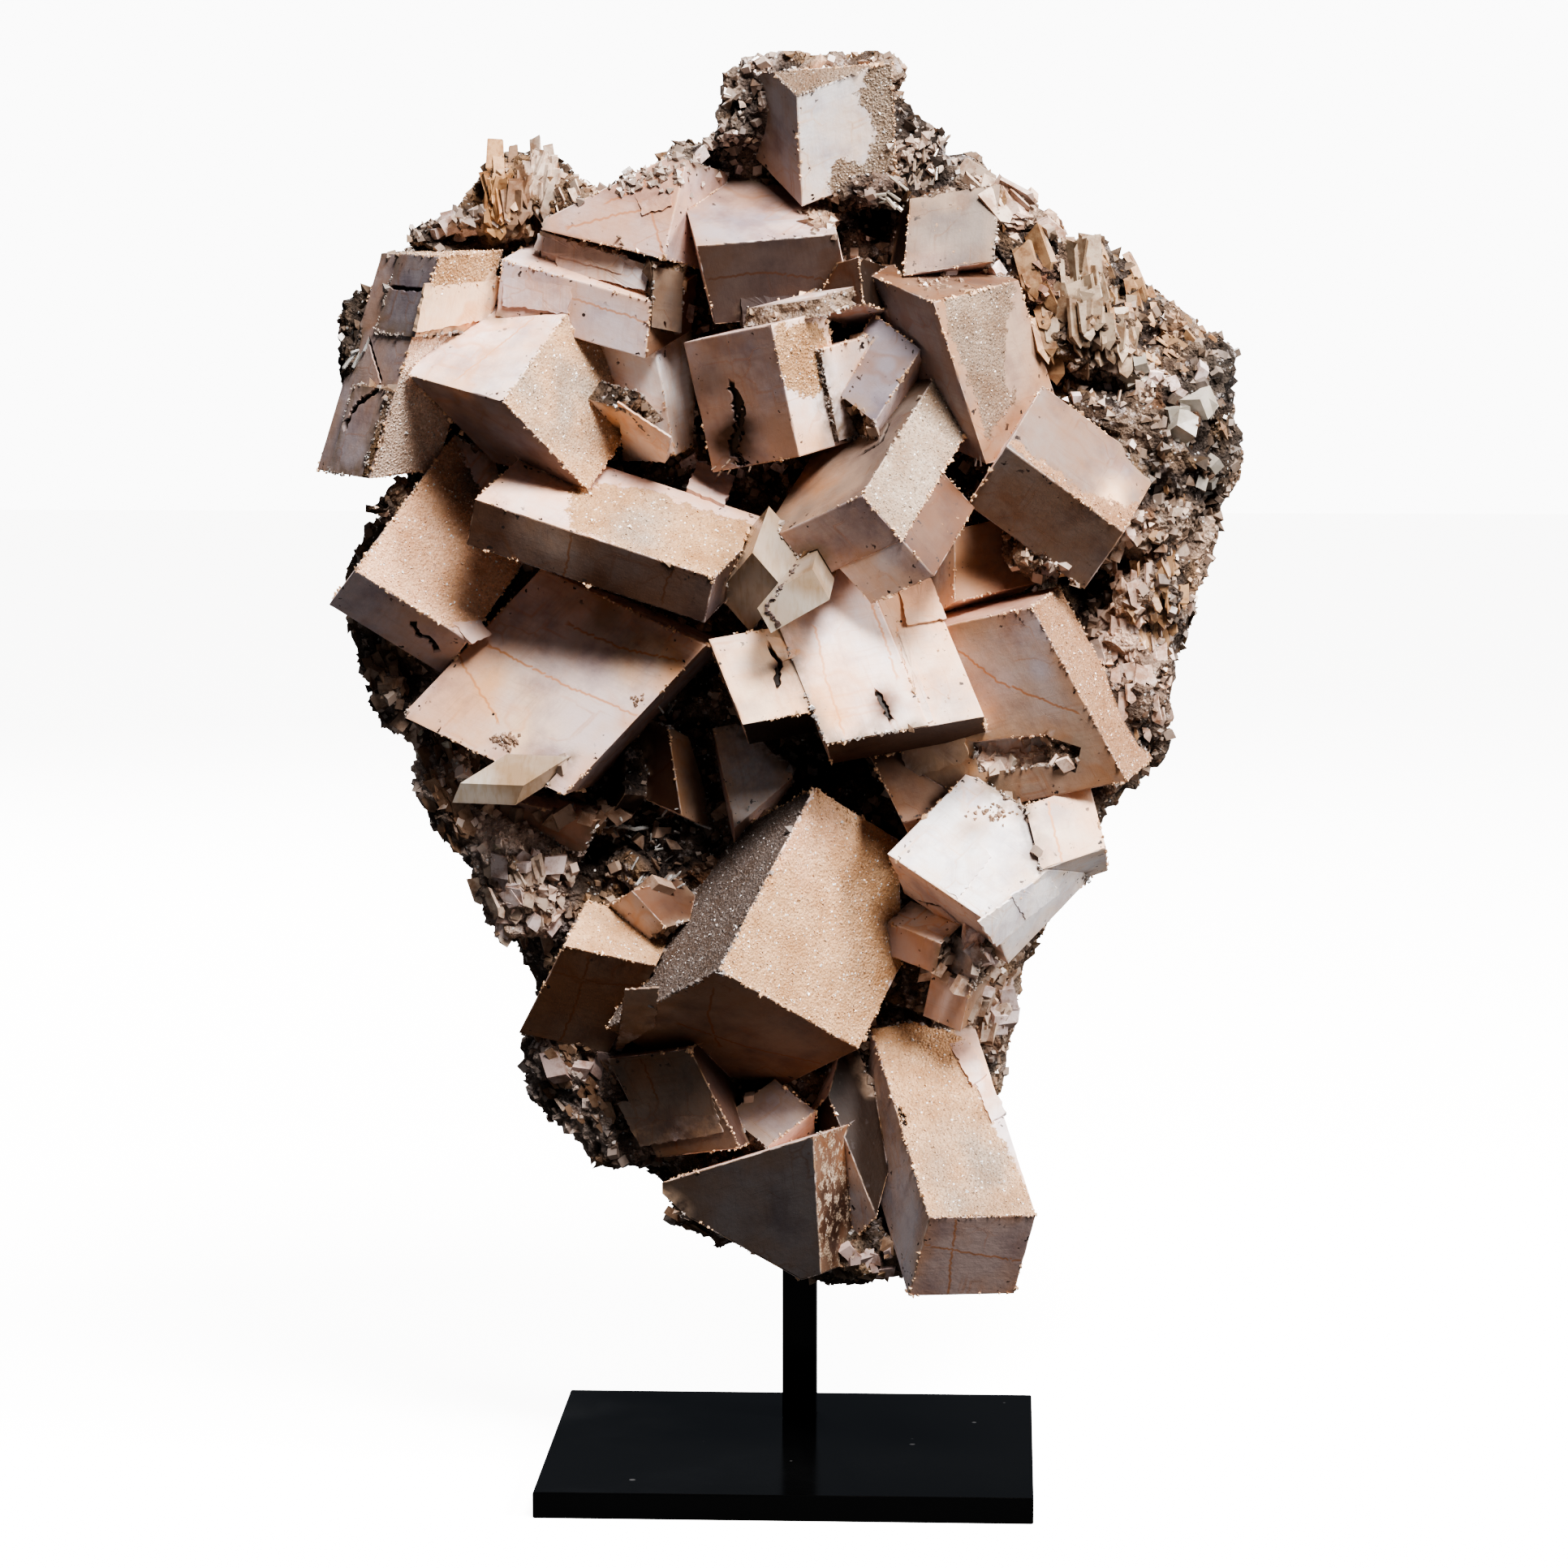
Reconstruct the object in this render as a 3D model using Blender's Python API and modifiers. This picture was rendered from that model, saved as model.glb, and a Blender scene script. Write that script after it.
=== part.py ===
"""A cluster of large dolomite crystals on its rock, held up on a black post and a black base plate.

Metres, +Z up, +X to the right and +Y away from the front view. The origin is the centre
of the base plate's underside. The crystals are rhombs of the mineral's own two corner angles.
Each is measured on a front sheet: the corner nearest the eye, and its three edges as the eye
sees them. Their slants away from the eye follow from the angles, so a crystal is a true rhomb
and still shows the outline that was measured.
"""
import math
import bmesh
import bpy
import numpy as np
from mathutils import Matrix, Vector, noise

# Stand
BASE_SIZE = (0.178, 0.152, 0.0095)
BASE_EDGE = 0.0006
POST_SIDE = 0.0127
POST_X = 0.0012
POST_FRONT = 0.0352
POST_TOP = 0.128
POST_EDGE = 0.0004
SOCKET_TOP = 0.130
GAP = 0.0003

# Front sheet: the eye, the way it looks, and the sheet units that one metre spans one metre off
EYE = Vector((0.077, -1.733, 0.456))
EYE_TURN = math.radians(-2.64)
EYE_DIP = math.radians(6.62)
SHEET_SPAN = 5904.0
SHEET_MIDDLE = 966.0

# The rhomb's face angles, and how lightly a slant is drawn to the middle one
BLUNT = math.radians(102.4)
SHARP = math.radians(77.6)
MIDDLE_SLANT = math.radians(38.0)
PULL = 0.08
SOLVER_ROUNDS = 100

# Rock
ROCK_CELL = 0.0051
ROCK_TRIANGLES = 5200
NOISE_SEED = Vector((3.1, 7.4, 1.7))
BROAD_LUMPS = 28.0
MIDDLE_LUMPS = 75.0
FACETS = 30.0
LEDGES = 260.0
LEDGE_BEND = 22.0
BROAD_HEIGHT = 0.0042
MIDDLE_HEIGHT = 0.0026
LEDGE_HEIGHT = 0.0008
BACK_HEIGHT = 0.0060
BACK_FACETS = 0.0022
BACK_DEPTH = 0.040
RIM_SHARE = 0.15
FACING_SHARE = 1.2

# Calcite stands clear of its pocket in the dolomite by a little more than the gap
CALCITE_MARGIN = 0.00045

DOLOMITE_COLOUR = (0.72, 0.60, 0.50)
CALCITE_COLOUR = (0.80, 0.74, 0.62)
POST_COLOUR = (0.008, 0.008, 0.009)
BASE_COLOUR = (0.006, 0.006, 0.007)

for old in list(bpy.data.objects):
    bpy.data.objects.remove(old, do_unlink=True)


def new_collection(name):
    collection = bpy.data.collections.new(name)
    bpy.context.scene.collection.children.link(collection)
    return collection


SPECIMEN = new_collection("dolomite_specimen")
CUTTERS = new_collection("cutters")


def material(name, colour, roughness, metallic=0.0, transmission=0.0):
    made = bpy.data.materials.new(name)
    made.use_nodes = True
    shader = made.node_tree.nodes["Principled BSDF"]
    shader.inputs["Base Color"].default_value = (*colour, 1.0)
    shader.inputs["Roughness"].default_value = roughness
    shader.inputs["Metallic"].default_value = metallic
    shader.inputs["Transmission Weight"].default_value = transmission
    made.diffuse_color = (*colour, 1.0)
    return made


def object_from(bm, name, collection):
    bmesh.ops.recalc_face_normals(bm, faces=bm.faces)
    mesh = bpy.data.meshes.new(name)
    bm.to_mesh(mesh)
    bm.free()
    made = bpy.data.objects.new(name, mesh)
    collection.objects.link(made)
    return made


def as_cutter(thing):
    thing.hide_render = True
    thing.display_type = "WIRE"
    return thing


def applied(thing):
    """Put an object's modifiers into its mesh."""
    graph = bpy.context.evaluated_depsgraph_get()
    mesh = bpy.data.meshes.new_from_object(thing.evaluated_get(graph))
    old = thing.data
    thing.modifiers.clear()
    thing.data = mesh
    bpy.data.meshes.remove(old)
    return thing


def boolean(thing, other, operation):
    cut = thing.modifiers.new(operation.lower(), "BOOLEAN")
    cut.operation = operation
    cut.object = other
    cut.solver = "EXACT"
    applied(thing)
    return thing


# The front sheet
LOOK = Vector((math.sin(EYE_TURN) * math.cos(EYE_DIP), math.cos(EYE_TURN) * math.cos(EYE_DIP),
               -math.sin(EYE_DIP)))
ACROSS = Vector((math.cos(EYE_TURN), -math.sin(EYE_TURN), 0.0))
UPWARD = ACROSS.cross(LOOK)


def sight(point):
    """The line of sight through a point of the sheet, as a unit vector."""
    across = (point[0] - SHEET_MIDDLE) / SHEET_SPAN
    down = (point[1] - SHEET_MIDDLE) / SHEET_SPAN
    return (LOOK + ACROSS * across - UPWARD * down).normalized()


def place(point, out):
    """The place seen at a point of the sheet, out metres in front of the upright middle plane."""
    line = sight(point)
    return EYE + line * ((-out - EYE.y) / line.y)


CORNERS = {
    "blunt": (BLUNT, BLUNT, BLUNT),
    "ab_blunt": (BLUNT, SHARP, SHARP),
    "bc_blunt": (SHARP, BLUNT, SHARP),
    "ca_blunt": (SHARP, SHARP, BLUNT),
}
PAIRS = ((0, 1), (1, 2), (2, 0))


def misfit(slants, headings, corner):
    """How far the three face angles are from the mineral's, and the slants from the middle one."""
    parts = []
    for (i, j), angle in zip(PAIRS, CORNERS[corner]):
        flat = math.cos(slants[i]) * math.cos(slants[j]) * headings[i].dot(headings[j])
        parts.append(flat + math.sin(slants[i]) * math.sin(slants[j]) - math.cos(angle))
    return np.array(parts + [PULL * (slant - MIDDLE_SLANT) for slant in slants])


def solve_slants(headings, corner):
    """Slants of three edges away from the eye, by damped least squares from three starts."""
    best = None
    for start in (0.3, 0.7, 1.1):
        slants = np.full(3, start)
        wrong = misfit(slants, headings, corner)
        damping = 0.01
        for _ in range(SOLVER_ROUNDS):
            nudge = 1e-6
            slope = np.array([(misfit(slants + nudge * axis, headings, corner) - wrong) / nudge
                              for axis in np.eye(3)]).T
            move = np.linalg.solve(slope.T @ slope + damping * np.eye(3), -slope.T @ wrong)
            tried = misfit(slants + move, headings, corner)
            if tried @ tried < wrong @ wrong:
                slants, wrong, damping = slants + move, tried, damping * 0.5
            else:
                damping *= 3.0
        if best is None or wrong @ wrong < best[0]:
            best = (wrong @ wrong, slants)
    return best[1]


def reach(start, direction, point):
    """How far along a direction from start the line of sight through a sheet point is met."""
    line = sight(point)
    away = start - EYE
    side = direction - line * direction.dot(line)
    return -away.dot(side) / side.dot(side)


class Crystal:
    """A rhomb: its nearest corner and its three edges as vectors."""

    def __init__(self, name, corner, edges):
        self.name = name
        self.corner = corner
        self.edges = edges
        self.cuts = []


def crystal(name, corner, out, a, b, c, kind="bc_blunt", slants=None, lengths=(None, None, None)):
    """A crystal from its nearest corner and its three edges on the sheet, in sheet units.

    out is how far its corner stands in front of the middle plane, in metres. A length in
    metres takes the place of one read from the sheet, for an edge that runs into the rock.
    """
    start = place(corner, out)
    line = sight(corner)
    right = line.cross(Vector((0, 0, 1))).normalized()
    up = right.cross(line)
    flats = []
    for edge in (a, b, c):
        near = place((corner[0] + 0.01 * edge[0], corner[1] + 0.01 * edge[1]), out) - start
        flats.append((right * near.dot(right) + up * near.dot(up)).normalized())
    if slants is None:
        leans = solve_slants(flats, kind)
    else:
        leans = [math.radians(slant) for slant in slants]
    edges = []
    for flat, lean, edge, length in zip(flats, leans, (a, b, c), lengths):
        direction = flat * math.cos(lean) + line * math.sin(lean)
        if length is None:
            length = reach(start, direction, (corner[0] + edge[0], corner[1] + edge[1]))
        edges.append(direction * length)
    made = Crystal(name, start, edges)
    CRYSTALS.append(made)
    return made


def step(name, parent, corner, out, lengths):
    """A step grown parallel to a crystal: the same edge directions, its own corner and lengths."""
    start = place(corner, out)
    made = Crystal(name, start, [e.normalized() * size for e, size in zip(parent.edges, lengths)])
    CRYSTALS.append(made)
    return made


def level(parent, corner, lift):
    """How far out a sheet point is when it lies on a crystal's front face, lifted by a hair."""
    normal = parent.edges[0].cross(parent.edges[1]).normalized()
    line = sight(corner)
    where = EYE + line * ((parent.corner - EYE).dot(normal) / line.dot(normal))
    return -where.y + lift


def cut(one, first, second):
    """Break a crystal off along the line through two sheet points, seen from the eye."""
    across = sight(first).cross(sight(second)).normalized()
    if across.dot(one.corner - EYE) < 0:
        across = -across
    one.cuts.append(across)


CRYSTALS = []

# Upper left
shoulder = crystal("shoulder", (537, 318), 0.038, (-82, 272), (83, -8), (-67, -6), "ab_blunt")
step("shoulder_foot", shoulder, (478, 480), 0.035, (0.033, 0.024, 0.026))
step("shoulder_cap", shoulder, (541, 316), 0.041, (0.030, 0.030, 0.030))
big_tan = crystal("big_tan", (620, 495), 0.062, (95, -133), (105, 109), (-118, -33))
cut(big_tan, (797, 435), (764, 562))
step("big_tan_side", big_tan, (772, 505), 0.036, (0.010, 0.016, 0.030))
crystal("ledge_low", (803, 372), 0.034, (-185, -53), (-8, 70), (20, -12), slants=(16, 8, 50),
        lengths=(None, None, 0.030))
crystal("ledge_high", (803, 328), 0.033, (-138, -44), (2, 38), (15, -10), "blunt",
        lengths=(None, None, 0.020))
crystal("ledge_end", (805, 328), 0.036, (37, 8), (-2, 75), (-8, -8), lengths=(None, None, 0.020))
crystal("ledge_deep", (806, 422), 0.024, (-150, -62), (26, 140), (20, -10), slants=(20, 15, 60),
        lengths=(None, None, 0.030))
upper_left = crystal("upper_left", (817, 319), 0.038, (-150, -36), (29, -122), (22, 6),
                     slants=(18, 12, 58), lengths=(None, None, 0.030))
cut(upper_left, (850, 180), (690, 260))

# Upper middle
crystal("upper_centre", (858, 303), 0.048, (174, -15), (-33, -120), (22, 97))
top = crystal("top", (981, 118), 0.042, (7, 137), (-73, -75), (118, -46), "blunt")
cut(top, (900, 92), (1010, 84))
cut(top, (1000, 84), (1120, 72))
split_block = crystal("split_block", (950, 400), 0.060, (-108, 22), (35, 163), (67, -18), "ca_blunt")
crystal("split_top", (1013, 390), 0.052, (-98, 13), (-3, -22), (22, -8), slants=(30, 20, 50),
        lengths=(None, None, 0.020))
crystal("wedge", (1064, 374), 0.036, (-54, 16), (-6, -58), (12, 4), slants=(30, 25, 60),
        lengths=(None, None, 0.025))
step("split_block_side", split_block, (1010, 430), 0.044, (0.020, 0.036, 0.024))
crystal("behind_split", (1078, 520), 0.044, (57, -90), (-58, -45), (0, 10), "ca_blunt",
        lengths=(None, None, 0.035))
crystal("upper_right", (1113, 340), 0.024, (112, -18), (8, -95), (-10, 8), "ca_blunt",
        lengths=(None, None, 0.030))
crystal("upper_right_far", (1230, 348), 0.016, (80, -30), (-5, -60), (-8, 10), "ca_blunt",
        lengths=(None, None, 0.030))

# Left
crystal("wide_slab", (880, 712), 0.058, (-295, -97), (70, -72), (-12, 56), slants=(8, 50, 24))
crystal("left_tan", (437, 703), 0.045, (123, -168), (140, 87), (-32, 42), "ca_blunt")
white_plate = crystal("white_plate", (870, 795), 0.034, (-203, -95), (-175, 185), (38, -8),
                      lengths=(None, None, 0.045))
cut(white_plate, (512, 800), (498, 905))
crystal("fin", (455, 634), 0.022, (48, -44), (-6, -8), (8, 6), slants=(25, 10, 40),
        lengths=(None, None, 0.020))

# Centre
stepped = crystal("stepped_plate", (1018, 918), 0.062, (195, -35), (-68, -168), (3, 12),
                  slants=(8, 20, 78), lengths=(None, None, 0.034))
step("stepped_plate_wing", stepped, (915, 893), level(stepped, (915, 893), 0.0002),
     (0.036, 0.035, 0.034))
step("stepped_plate_rise", stepped, (1018, 916), level(stepped, (1018, 916), 0.0008),
     (0.037, 0.068, 0.020))
centre_tall = crystal("centre_tall", (1062, 610), 0.066, (93, -152), (50, 56), (-130, 60), "blunt")
step("centre_tall_low", centre_tall, (1062, 610), 0.0655, (0.034, 0.038, 0.030))
great_tan = crystal("great_tan", (885, 1195), 0.076, (118, -225), (173, 98), (-138, 72), "ca_blunt")
cut(great_tan, (1107, 1000), (1112, 1240))

# Right
crystal("right_long", (1150, 372), 0.052, (-88, -37), (65, 200), (105, -27), "ab_blunt")
crystal("right_big", (1240, 550), 0.056, (145, 106), (45, -75), (-48, 72))
crystal("right_plate", (1272, 748), 0.042, (117, 215), (-235, 50), (27, -21),
        slants=(12, 16, 66), lengths=(None, None, 0.030))
crystal("right_plate_foot", (1112, 1014), 0.028, (-46, -94), (150, -42), (4, 8), slants=(15, 20, 70),
        lengths=(None, None, 0.025))
crystal("behind_plate", (1176, 742), 0.026, (0, -90), (102, -24), (-8, 5), slants=(15, 20, 66),
        lengths=(None, None, 0.025))
crystal("bright_white", (1223, 1140), 0.050, (-130, -88), (100, -103), (19, 48), slants=(12, 18, 62))
crystal("small_right", (1283, 1072), 0.040, (80, -27), (-20, -80), (2, 14), slants=(16, 20, 76),
        lengths=(None, None, 0.034))
steps = crystal("steps", (1160, 1163), 0.034, (-66, -27), (28, -27), (-8, 38))
step("steps_mid", steps, (1212, 1167), 0.036, (0.016, 0.014, 0.018))
step("steps_low", steps, (1196, 1214), 0.032, (0.020, 0.016, 0.020))

# Lower part
crystal("foot_block", (1145, 1500), 0.060, (-80, -260), (132, -3), (-26, 97), "blunt")
crystal("foot_neighbour", (1080, 1500), 0.034, (-60, -150), (24, -90), (-6, 6), slants=(12, 30, 60),
        lengths=(None, None, 0.025))
low_centre = crystal("low_centre", (1002, 1400), 0.048, (-187, 57), (10, 170), (46, -16),
                     slants=(4, 17, 65), lengths=(None, None, 0.045))
cut(low_centre, (815, 1470), (880, 1528))
cut(low_centre, (870, 1512), (1010, 1590))
crystal("low_left_block", (850, 1292), 0.036, (-102, 13), (62, 123), (8, -4), "ab_blunt",
        lengths=(None, None, 0.035))
crystal("left_low", (695, 1165), 0.042, (28, -55), (113, 25), (-56, 108), slants=(52, 8, 40))
crystal("pale_hollow", (945, 1413), 0.020, (-50, -40), (60, -44), (0, 6), "blunt",
        lengths=(None, None, 0.030))
crystal("small_mid", (778, 1097), 0.030, (42, 46), (-25, 18), (58, -16), "ab_blunt")
crystal("hollow_a", (905, 1020), 0.018, (72, -62), (-35, -160), (0, 8), slants=(20, 25, 60),
        lengths=(None, None, 0.025))
crystal("hollow_b", (840, 1005), 0.016, (-45, -20), (-17, -110), (8, 4), slants=(35, 5, 55),
        lengths=(None, None, 0.025))
crystal("hollow_c", (770, 978), 0.018, (27, 3), (2, -72), (-4, 6), lengths=(None, None, 0.025))
crystal("hollow_d", (735, 1012), 0.014, (-115, -28), (-14, 40), (12, -6), "ca_blunt",
        lengths=(None, None, 0.025))

# The rock's outline on the sheet, clockwise from the top, and the rings that close it front and back
ROCK_OUTLINE = (
    (930, 98), (988, 74), (1052, 82), (1106, 100), (1134, 138), (1174, 164), (1222, 205), (1270, 248),
    (1328, 289), (1362, 296), (1398, 322), (1442, 366), (1490, 390), (1512, 414), (1538, 440),
    (1543, 480), (1533, 560), (1523, 600), (1510, 652), (1494, 702), (1468, 720), (1464, 760),
    (1455, 820), (1444, 870), (1424, 922), (1406, 964), (1362, 992), (1345, 1050), (1334, 1100),
    (1306, 1150), (1276, 1192), (1260, 1240), (1244, 1292), (1226, 1350), (1210, 1490), (1180, 1560),
    (1100, 1576), (1040, 1584), (1000, 1580), (960, 1555), (930, 1528), (880, 1514), (850, 1490),
    (818, 1458), (756, 1440), (728, 1398), (714, 1353), (672, 1320), (662, 1285), (672, 1200),
    (648, 1160), (600, 1138), (584, 1100), (588, 1060), (562, 1030), (542, 996), (520, 928),
    (492, 884), (468, 880), (450, 828), (430, 780), (420, 735), (440, 670), (505, 595), (482, 560),
    (455, 495), (462, 400), (482, 325), (507, 284), (552, 270), (592, 245), (606, 209), (642, 186),
    (667, 172), (681, 218), (705, 235), (745, 228), (790, 199), (830, 172), (850, 164), (870, 182),
    (896, 180), (912, 160), (910, 122),
)
ROCK_RINGS = ((-0.002, 0.80), (-0.006, 0.95), (-0.020, 1.0), (-0.036, 0.92), (-0.050, 0.74), (-0.058, 0.48))
ROCK_SPINE = ((100, 1010), (500, 985), (900, 955), (1200, 950), (1570, 1010))
ROCK_WAIST = 830

# Lumps of rock that stand out and hollows that go in: a sheet point, out, and three half sizes
ROCK_LUMPS = (
    ((1380, 560), -0.006, (0.036, 0.024, 0.048)),
    ((1440, 480), -0.012, (0.024, 0.022, 0.024)),
    ((1330, 405), -0.002, (0.026, 0.020, 0.020)),
    ((1415, 700), -0.004, (0.018, 0.018, 0.028)),
    ((1385, 860), -0.006, (0.018, 0.018, 0.030)),
    ((1195, 275), -0.006, (0.028, 0.020, 0.016)),
    ((1275, 330), 0.000, (0.020, 0.018, 0.012)),
    ((1045, 90), 0.016, (0.023, 0.015, 0.009)),
    ((960, 92), 0.014, (0.012, 0.014, 0.010)),
    ((1060, 235), 0.014, (0.018, 0.012, 0.010)),
    ((918, 130), 0.010, (0.010, 0.014, 0.016)),
    ((645, 222), 0.004, (0.011, 0.018, 0.010)),
    ((560, 290), 0.006, (0.024, 0.018, 0.006)),
    ((605, 268), 0.010, (0.014, 0.016, 0.009)),
    ((745, 250), 0.010, (0.024, 0.013, 0.006)),
    ((850, 196), 0.014, (0.009, 0.014, 0.008)),
    ((490, 850), -0.006, (0.012, 0.016, 0.018)),
    ((444, 425), -0.006, (0.008, 0.010, 0.026)),
    ((566, 950), -0.004, (0.014, 0.016, 0.030)),
    ((640, 1090), 0.002, (0.020, 0.018, 0.022)),
    ((705, 1310), 0.000, (0.018, 0.016, 0.026)),
    ((755, 1380), 0.002, (0.016, 0.014, 0.018)),
    ((890, 1495), 0.006, (0.020, 0.016, 0.011)),
    ((1060, 1535), 0.012, (0.024, 0.018, 0.012)),
    ((1062, 500), 0.018, (0.014, 0.014, 0.014)),
    ((850, 1060), 0.000, (0.028, 0.014, 0.012)),
    ((1230, 1000), 0.012, (0.028, 0.014, 0.014)),
    ((1285, 670), 0.016, (0.016, 0.016, 0.014)),
    ((1010, 480), -0.050, (0.064, 0.020, 0.050)),
    ((870, 800), -0.046, (0.050, 0.022, 0.054)),
    ((1210, 690), -0.044, (0.050, 0.022, 0.056)),
    ((1010, 1180), -0.042, (0.046, 0.022, 0.060)),
    ((1050, 1420), -0.036, (0.036, 0.022, 0.036)),
    ((1260, 420), -0.040, (0.040, 0.018, 0.030)),
)
ROCK_HOLLOWS = (
    ((1368, 470), 0.016, (0.009, 0.010, 0.007)),
    ((1372, 706), 0.020, (0.009, 0.010, 0.006)),
    ((1090, 262), 0.006, (0.009, 0.014, 0.011)),
    ((610, 300), 0.018, (0.018, 0.014, 0.005)),
    ((905, 940), 0.006, (0.014, 0.016, 0.020)),
    ((905, 575), 0.012, (0.016, 0.016, 0.009)),
    ((930, 1360), 0.006, (0.014, 0.012, 0.010)),
    ((650, 235), 0.022, (0.008, 0.010, 0.006)),
)


def spine(down):
    return float(np.interp(down, [point[0] for point in ROCK_SPINE], [point[1] for point in ROCK_SPINE]))


def ring_points(out, size):
    """The outline drawn in towards the rock's spine, at its own distance from the eye."""
    points = []
    for across, down in ROCK_OUTLINE:
        middle = spine(down)
        points.append(place((middle + (across - middle) * size,
                             ROCK_WAIST + (down - ROCK_WAIST) * (1 - (1 - size) * 0.6)), out))
    return points


def rock_core():
    """The outline lofted from the front ring to the back one, closed at both ends."""
    bm = bmesh.new()
    rings = [[bm.verts.new(p) for p in ring_points(out, size)] for out, size in ROCK_RINGS]
    count = len(ROCK_OUTLINE)
    for near, far in zip(rings, rings[1:]):
        for i in range(count):
            k = (i + 1) % count
            bm.faces.new((near[i], near[k], far[k], far[i]))
    caps = [bm.faces.new(rings[0]), bm.faces.new(list(reversed(rings[-1])))]
    bmesh.ops.triangulate(bm, faces=caps)
    return bm


def ellipsoids(bm, table):
    for point, out, half in table:
        size = Matrix.Diagonal((*half, 1.0))
        bmesh.ops.create_icosphere(bm, subdivisions=3, radius=1.0,
                                   matrix=Matrix.Translation(place(point, out)) @ size)
    return bm


def roughen(mesh):
    """Break the rock's skin into lumps and ledges: least at the rim, so that the outline holds."""
    mesh.update()
    for vertex in mesh.vertices:
        where = vertex.co
        normal = vertex.normal.copy()
        broad = noise.noise(where * BROAD_LUMPS + NOISE_SEED)
        middle = noise.noise(where * MIDDLE_LUMPS + NOISE_SEED * 2.0)
        ledge = math.sin(where.z * LEDGES + 5.0 * noise.noise(where * LEDGE_BEND))
        facet = noise.cell(where * FACETS + NOISE_SEED)
        behind = 0.5 + 0.5 * max(-1.0, min(1.0, where.y / BACK_DEPTH))
        swell = BROAD_HEIGHT * broad + MIDDLE_HEIGHT * middle + LEDGE_HEIGHT * ledge
        swell += behind * (BACK_HEIGHT * broad + BACK_FACETS * facet)
        facing = abs(normal.dot((where - EYE).normalized()))
        vertex.co = where + normal * swell * min(1.0, RIM_SHARE + FACING_SHARE * facing)


def keep_largest(thing):
    """Drop the crumbs that cutting leaves beside the main body."""
    bm = bmesh.new()
    bm.from_mesh(thing.data)
    left = set(bm.verts)
    bodies = []
    while left:
        first = left.pop()
        body, queue = {first}, [first]
        while queue:
            for edge in queue.pop().link_edges:
                for vertex in edge.verts:
                    if vertex not in body:
                        body.add(vertex)
                        queue.append(vertex)
        left -= body
        bodies.append(body)
    bodies.sort(key=len, reverse=True)
    for body in bodies[1:]:
        bmesh.ops.delete(bm, geom=list(body), context="VERTS")
    bm.to_mesh(thing.data)
    bm.free()


def rock():
    """The core and its lumps as one skin, hollowed, roughened and brought down to few triangles."""
    made = object_from(ellipsoids(rock_core(), ROCK_LUMPS), "dolomite_cluster", SPECIMEN)
    cells = made.modifiers.new("cells", "REMESH")
    cells.mode = "VOXEL"
    cells.voxel_size = ROCK_CELL
    applied(made)
    hollows = as_cutter(object_from(ellipsoids(bmesh.new(), ROCK_HOLLOWS), "rock_hollows", CUTTERS))
    boolean(made, hollows, "DIFFERENCE")
    roughen(made.data)
    skin = made.modifiers.new("skin", "REMESH")
    skin.mode = "VOXEL"
    skin.voxel_size = ROCK_CELL
    applied(made)
    fewer = made.modifiers.new("fewer", "DECIMATE")
    fewer.ratio = ROCK_TRIANGLES / sum(len(face.vertices) - 2 for face in made.data.polygons)
    applied(made)
    return made


def rhomb(one, margin=0.0):
    """A crystal's closed solid: a cube sheared onto its three edges, with its breaks cut off."""
    edges = [edge + edge.normalized() * 2.0 * margin for edge in one.edges]
    corner = one.corner - sum((edge.normalized() for edge in one.edges), Vector()) * margin
    frame = Matrix.Identity(4)
    for column, edge in enumerate(edges):
        for row in range(3):
            frame[row][column] = edge[row]
    centre = corner + sum(edges, Vector()) * 0.5
    frame.translation = centre
    bm = bmesh.new()
    bmesh.ops.create_cube(bm, size=1.0, matrix=frame)
    for across in one.cuts:
        whole = list(bm.verts) + list(bm.edges) + list(bm.faces)
        cutting = bmesh.ops.bisect_plane(bm, geom=whole, plane_co=EYE, plane_no=across, clear_inner=True)
        rim = [item for item in cutting["geom_cut"] if isinstance(item, bmesh.types.BMEdge)]
        bmesh.ops.contextual_create(bm, geom=rim)
    return bm


def solid_of(crystals, name, collection, margin=0.0):
    """Crystals grown into each other, as one solid."""
    first = object_from(rhomb(crystals[0], margin), name, collection)
    for number, one in enumerate(crystals[1:]):
        part_of = as_cutter(object_from(rhomb(one, margin), f"{name}_{number + 2}", CUTTERS))
        boolean(first, part_of, "UNION")
    return first


def gather(maker):
    """Make crystals that stay out of the main cluster, and hand them back in a list."""
    before = len(CRYSTALS)
    maker()
    made = CRYSTALS[before:]
    del CRYSTALS[before:]
    return made


# Calcite, a paler mineral that grew last: one pair in the middle, one rhomb at the lower left
def centre_calcite():
    long_one = crystal("calcite_long", (1001, 701), 0.067, (12, -47), (21, 38), (-72, 41), "blunt")
    cut(long_one, (1014, 652), (940, 741))
    crystal("calcite_back", (968, 728), 0.058, (-41, -47), (20, -58), (-7, 8), "ca_blunt",
            lengths=(None, None, 0.032))


def left_calcite():
    crystal("calcite_left", (645, 968), 0.054, (57, -36), (-78, -3), (-10, 24), slants=(28, 8, 30))


# Gashes where a crystal has split or lost a piece: nearest corner, three edges, depth
def gashes():
    crystal("split_gap", (903, 505), 0.066, (12, 92), (24, -6), (-2, 1), slants=(20, 10, 70),
            lengths=(None, None, 0.030))
    crystal("plate_bite", (1204, 930), 0.050, (92, -14), (8, 40), (-2, -6), slants=(0, 0, 80),
            lengths=(None, None, 0.032))
    crystal("plate_notch", (1292, 918), 0.050, (44, 14), (-6, 34), (-2, -6), slants=(0, 0, 80),
            lengths=(None, None, 0.024))


def cluster_of(crystals):
    body = rock()
    for one in crystals:
        solid = as_cutter(object_from(rhomb(one), one.name, CUTTERS))
        boolean(body, solid, "UNION")
    for one in gather(gashes):
        boolean(body, as_cutter(object_from(rhomb(one), one.name, CUTTERS)), "DIFFERENCE")
    return body


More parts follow.
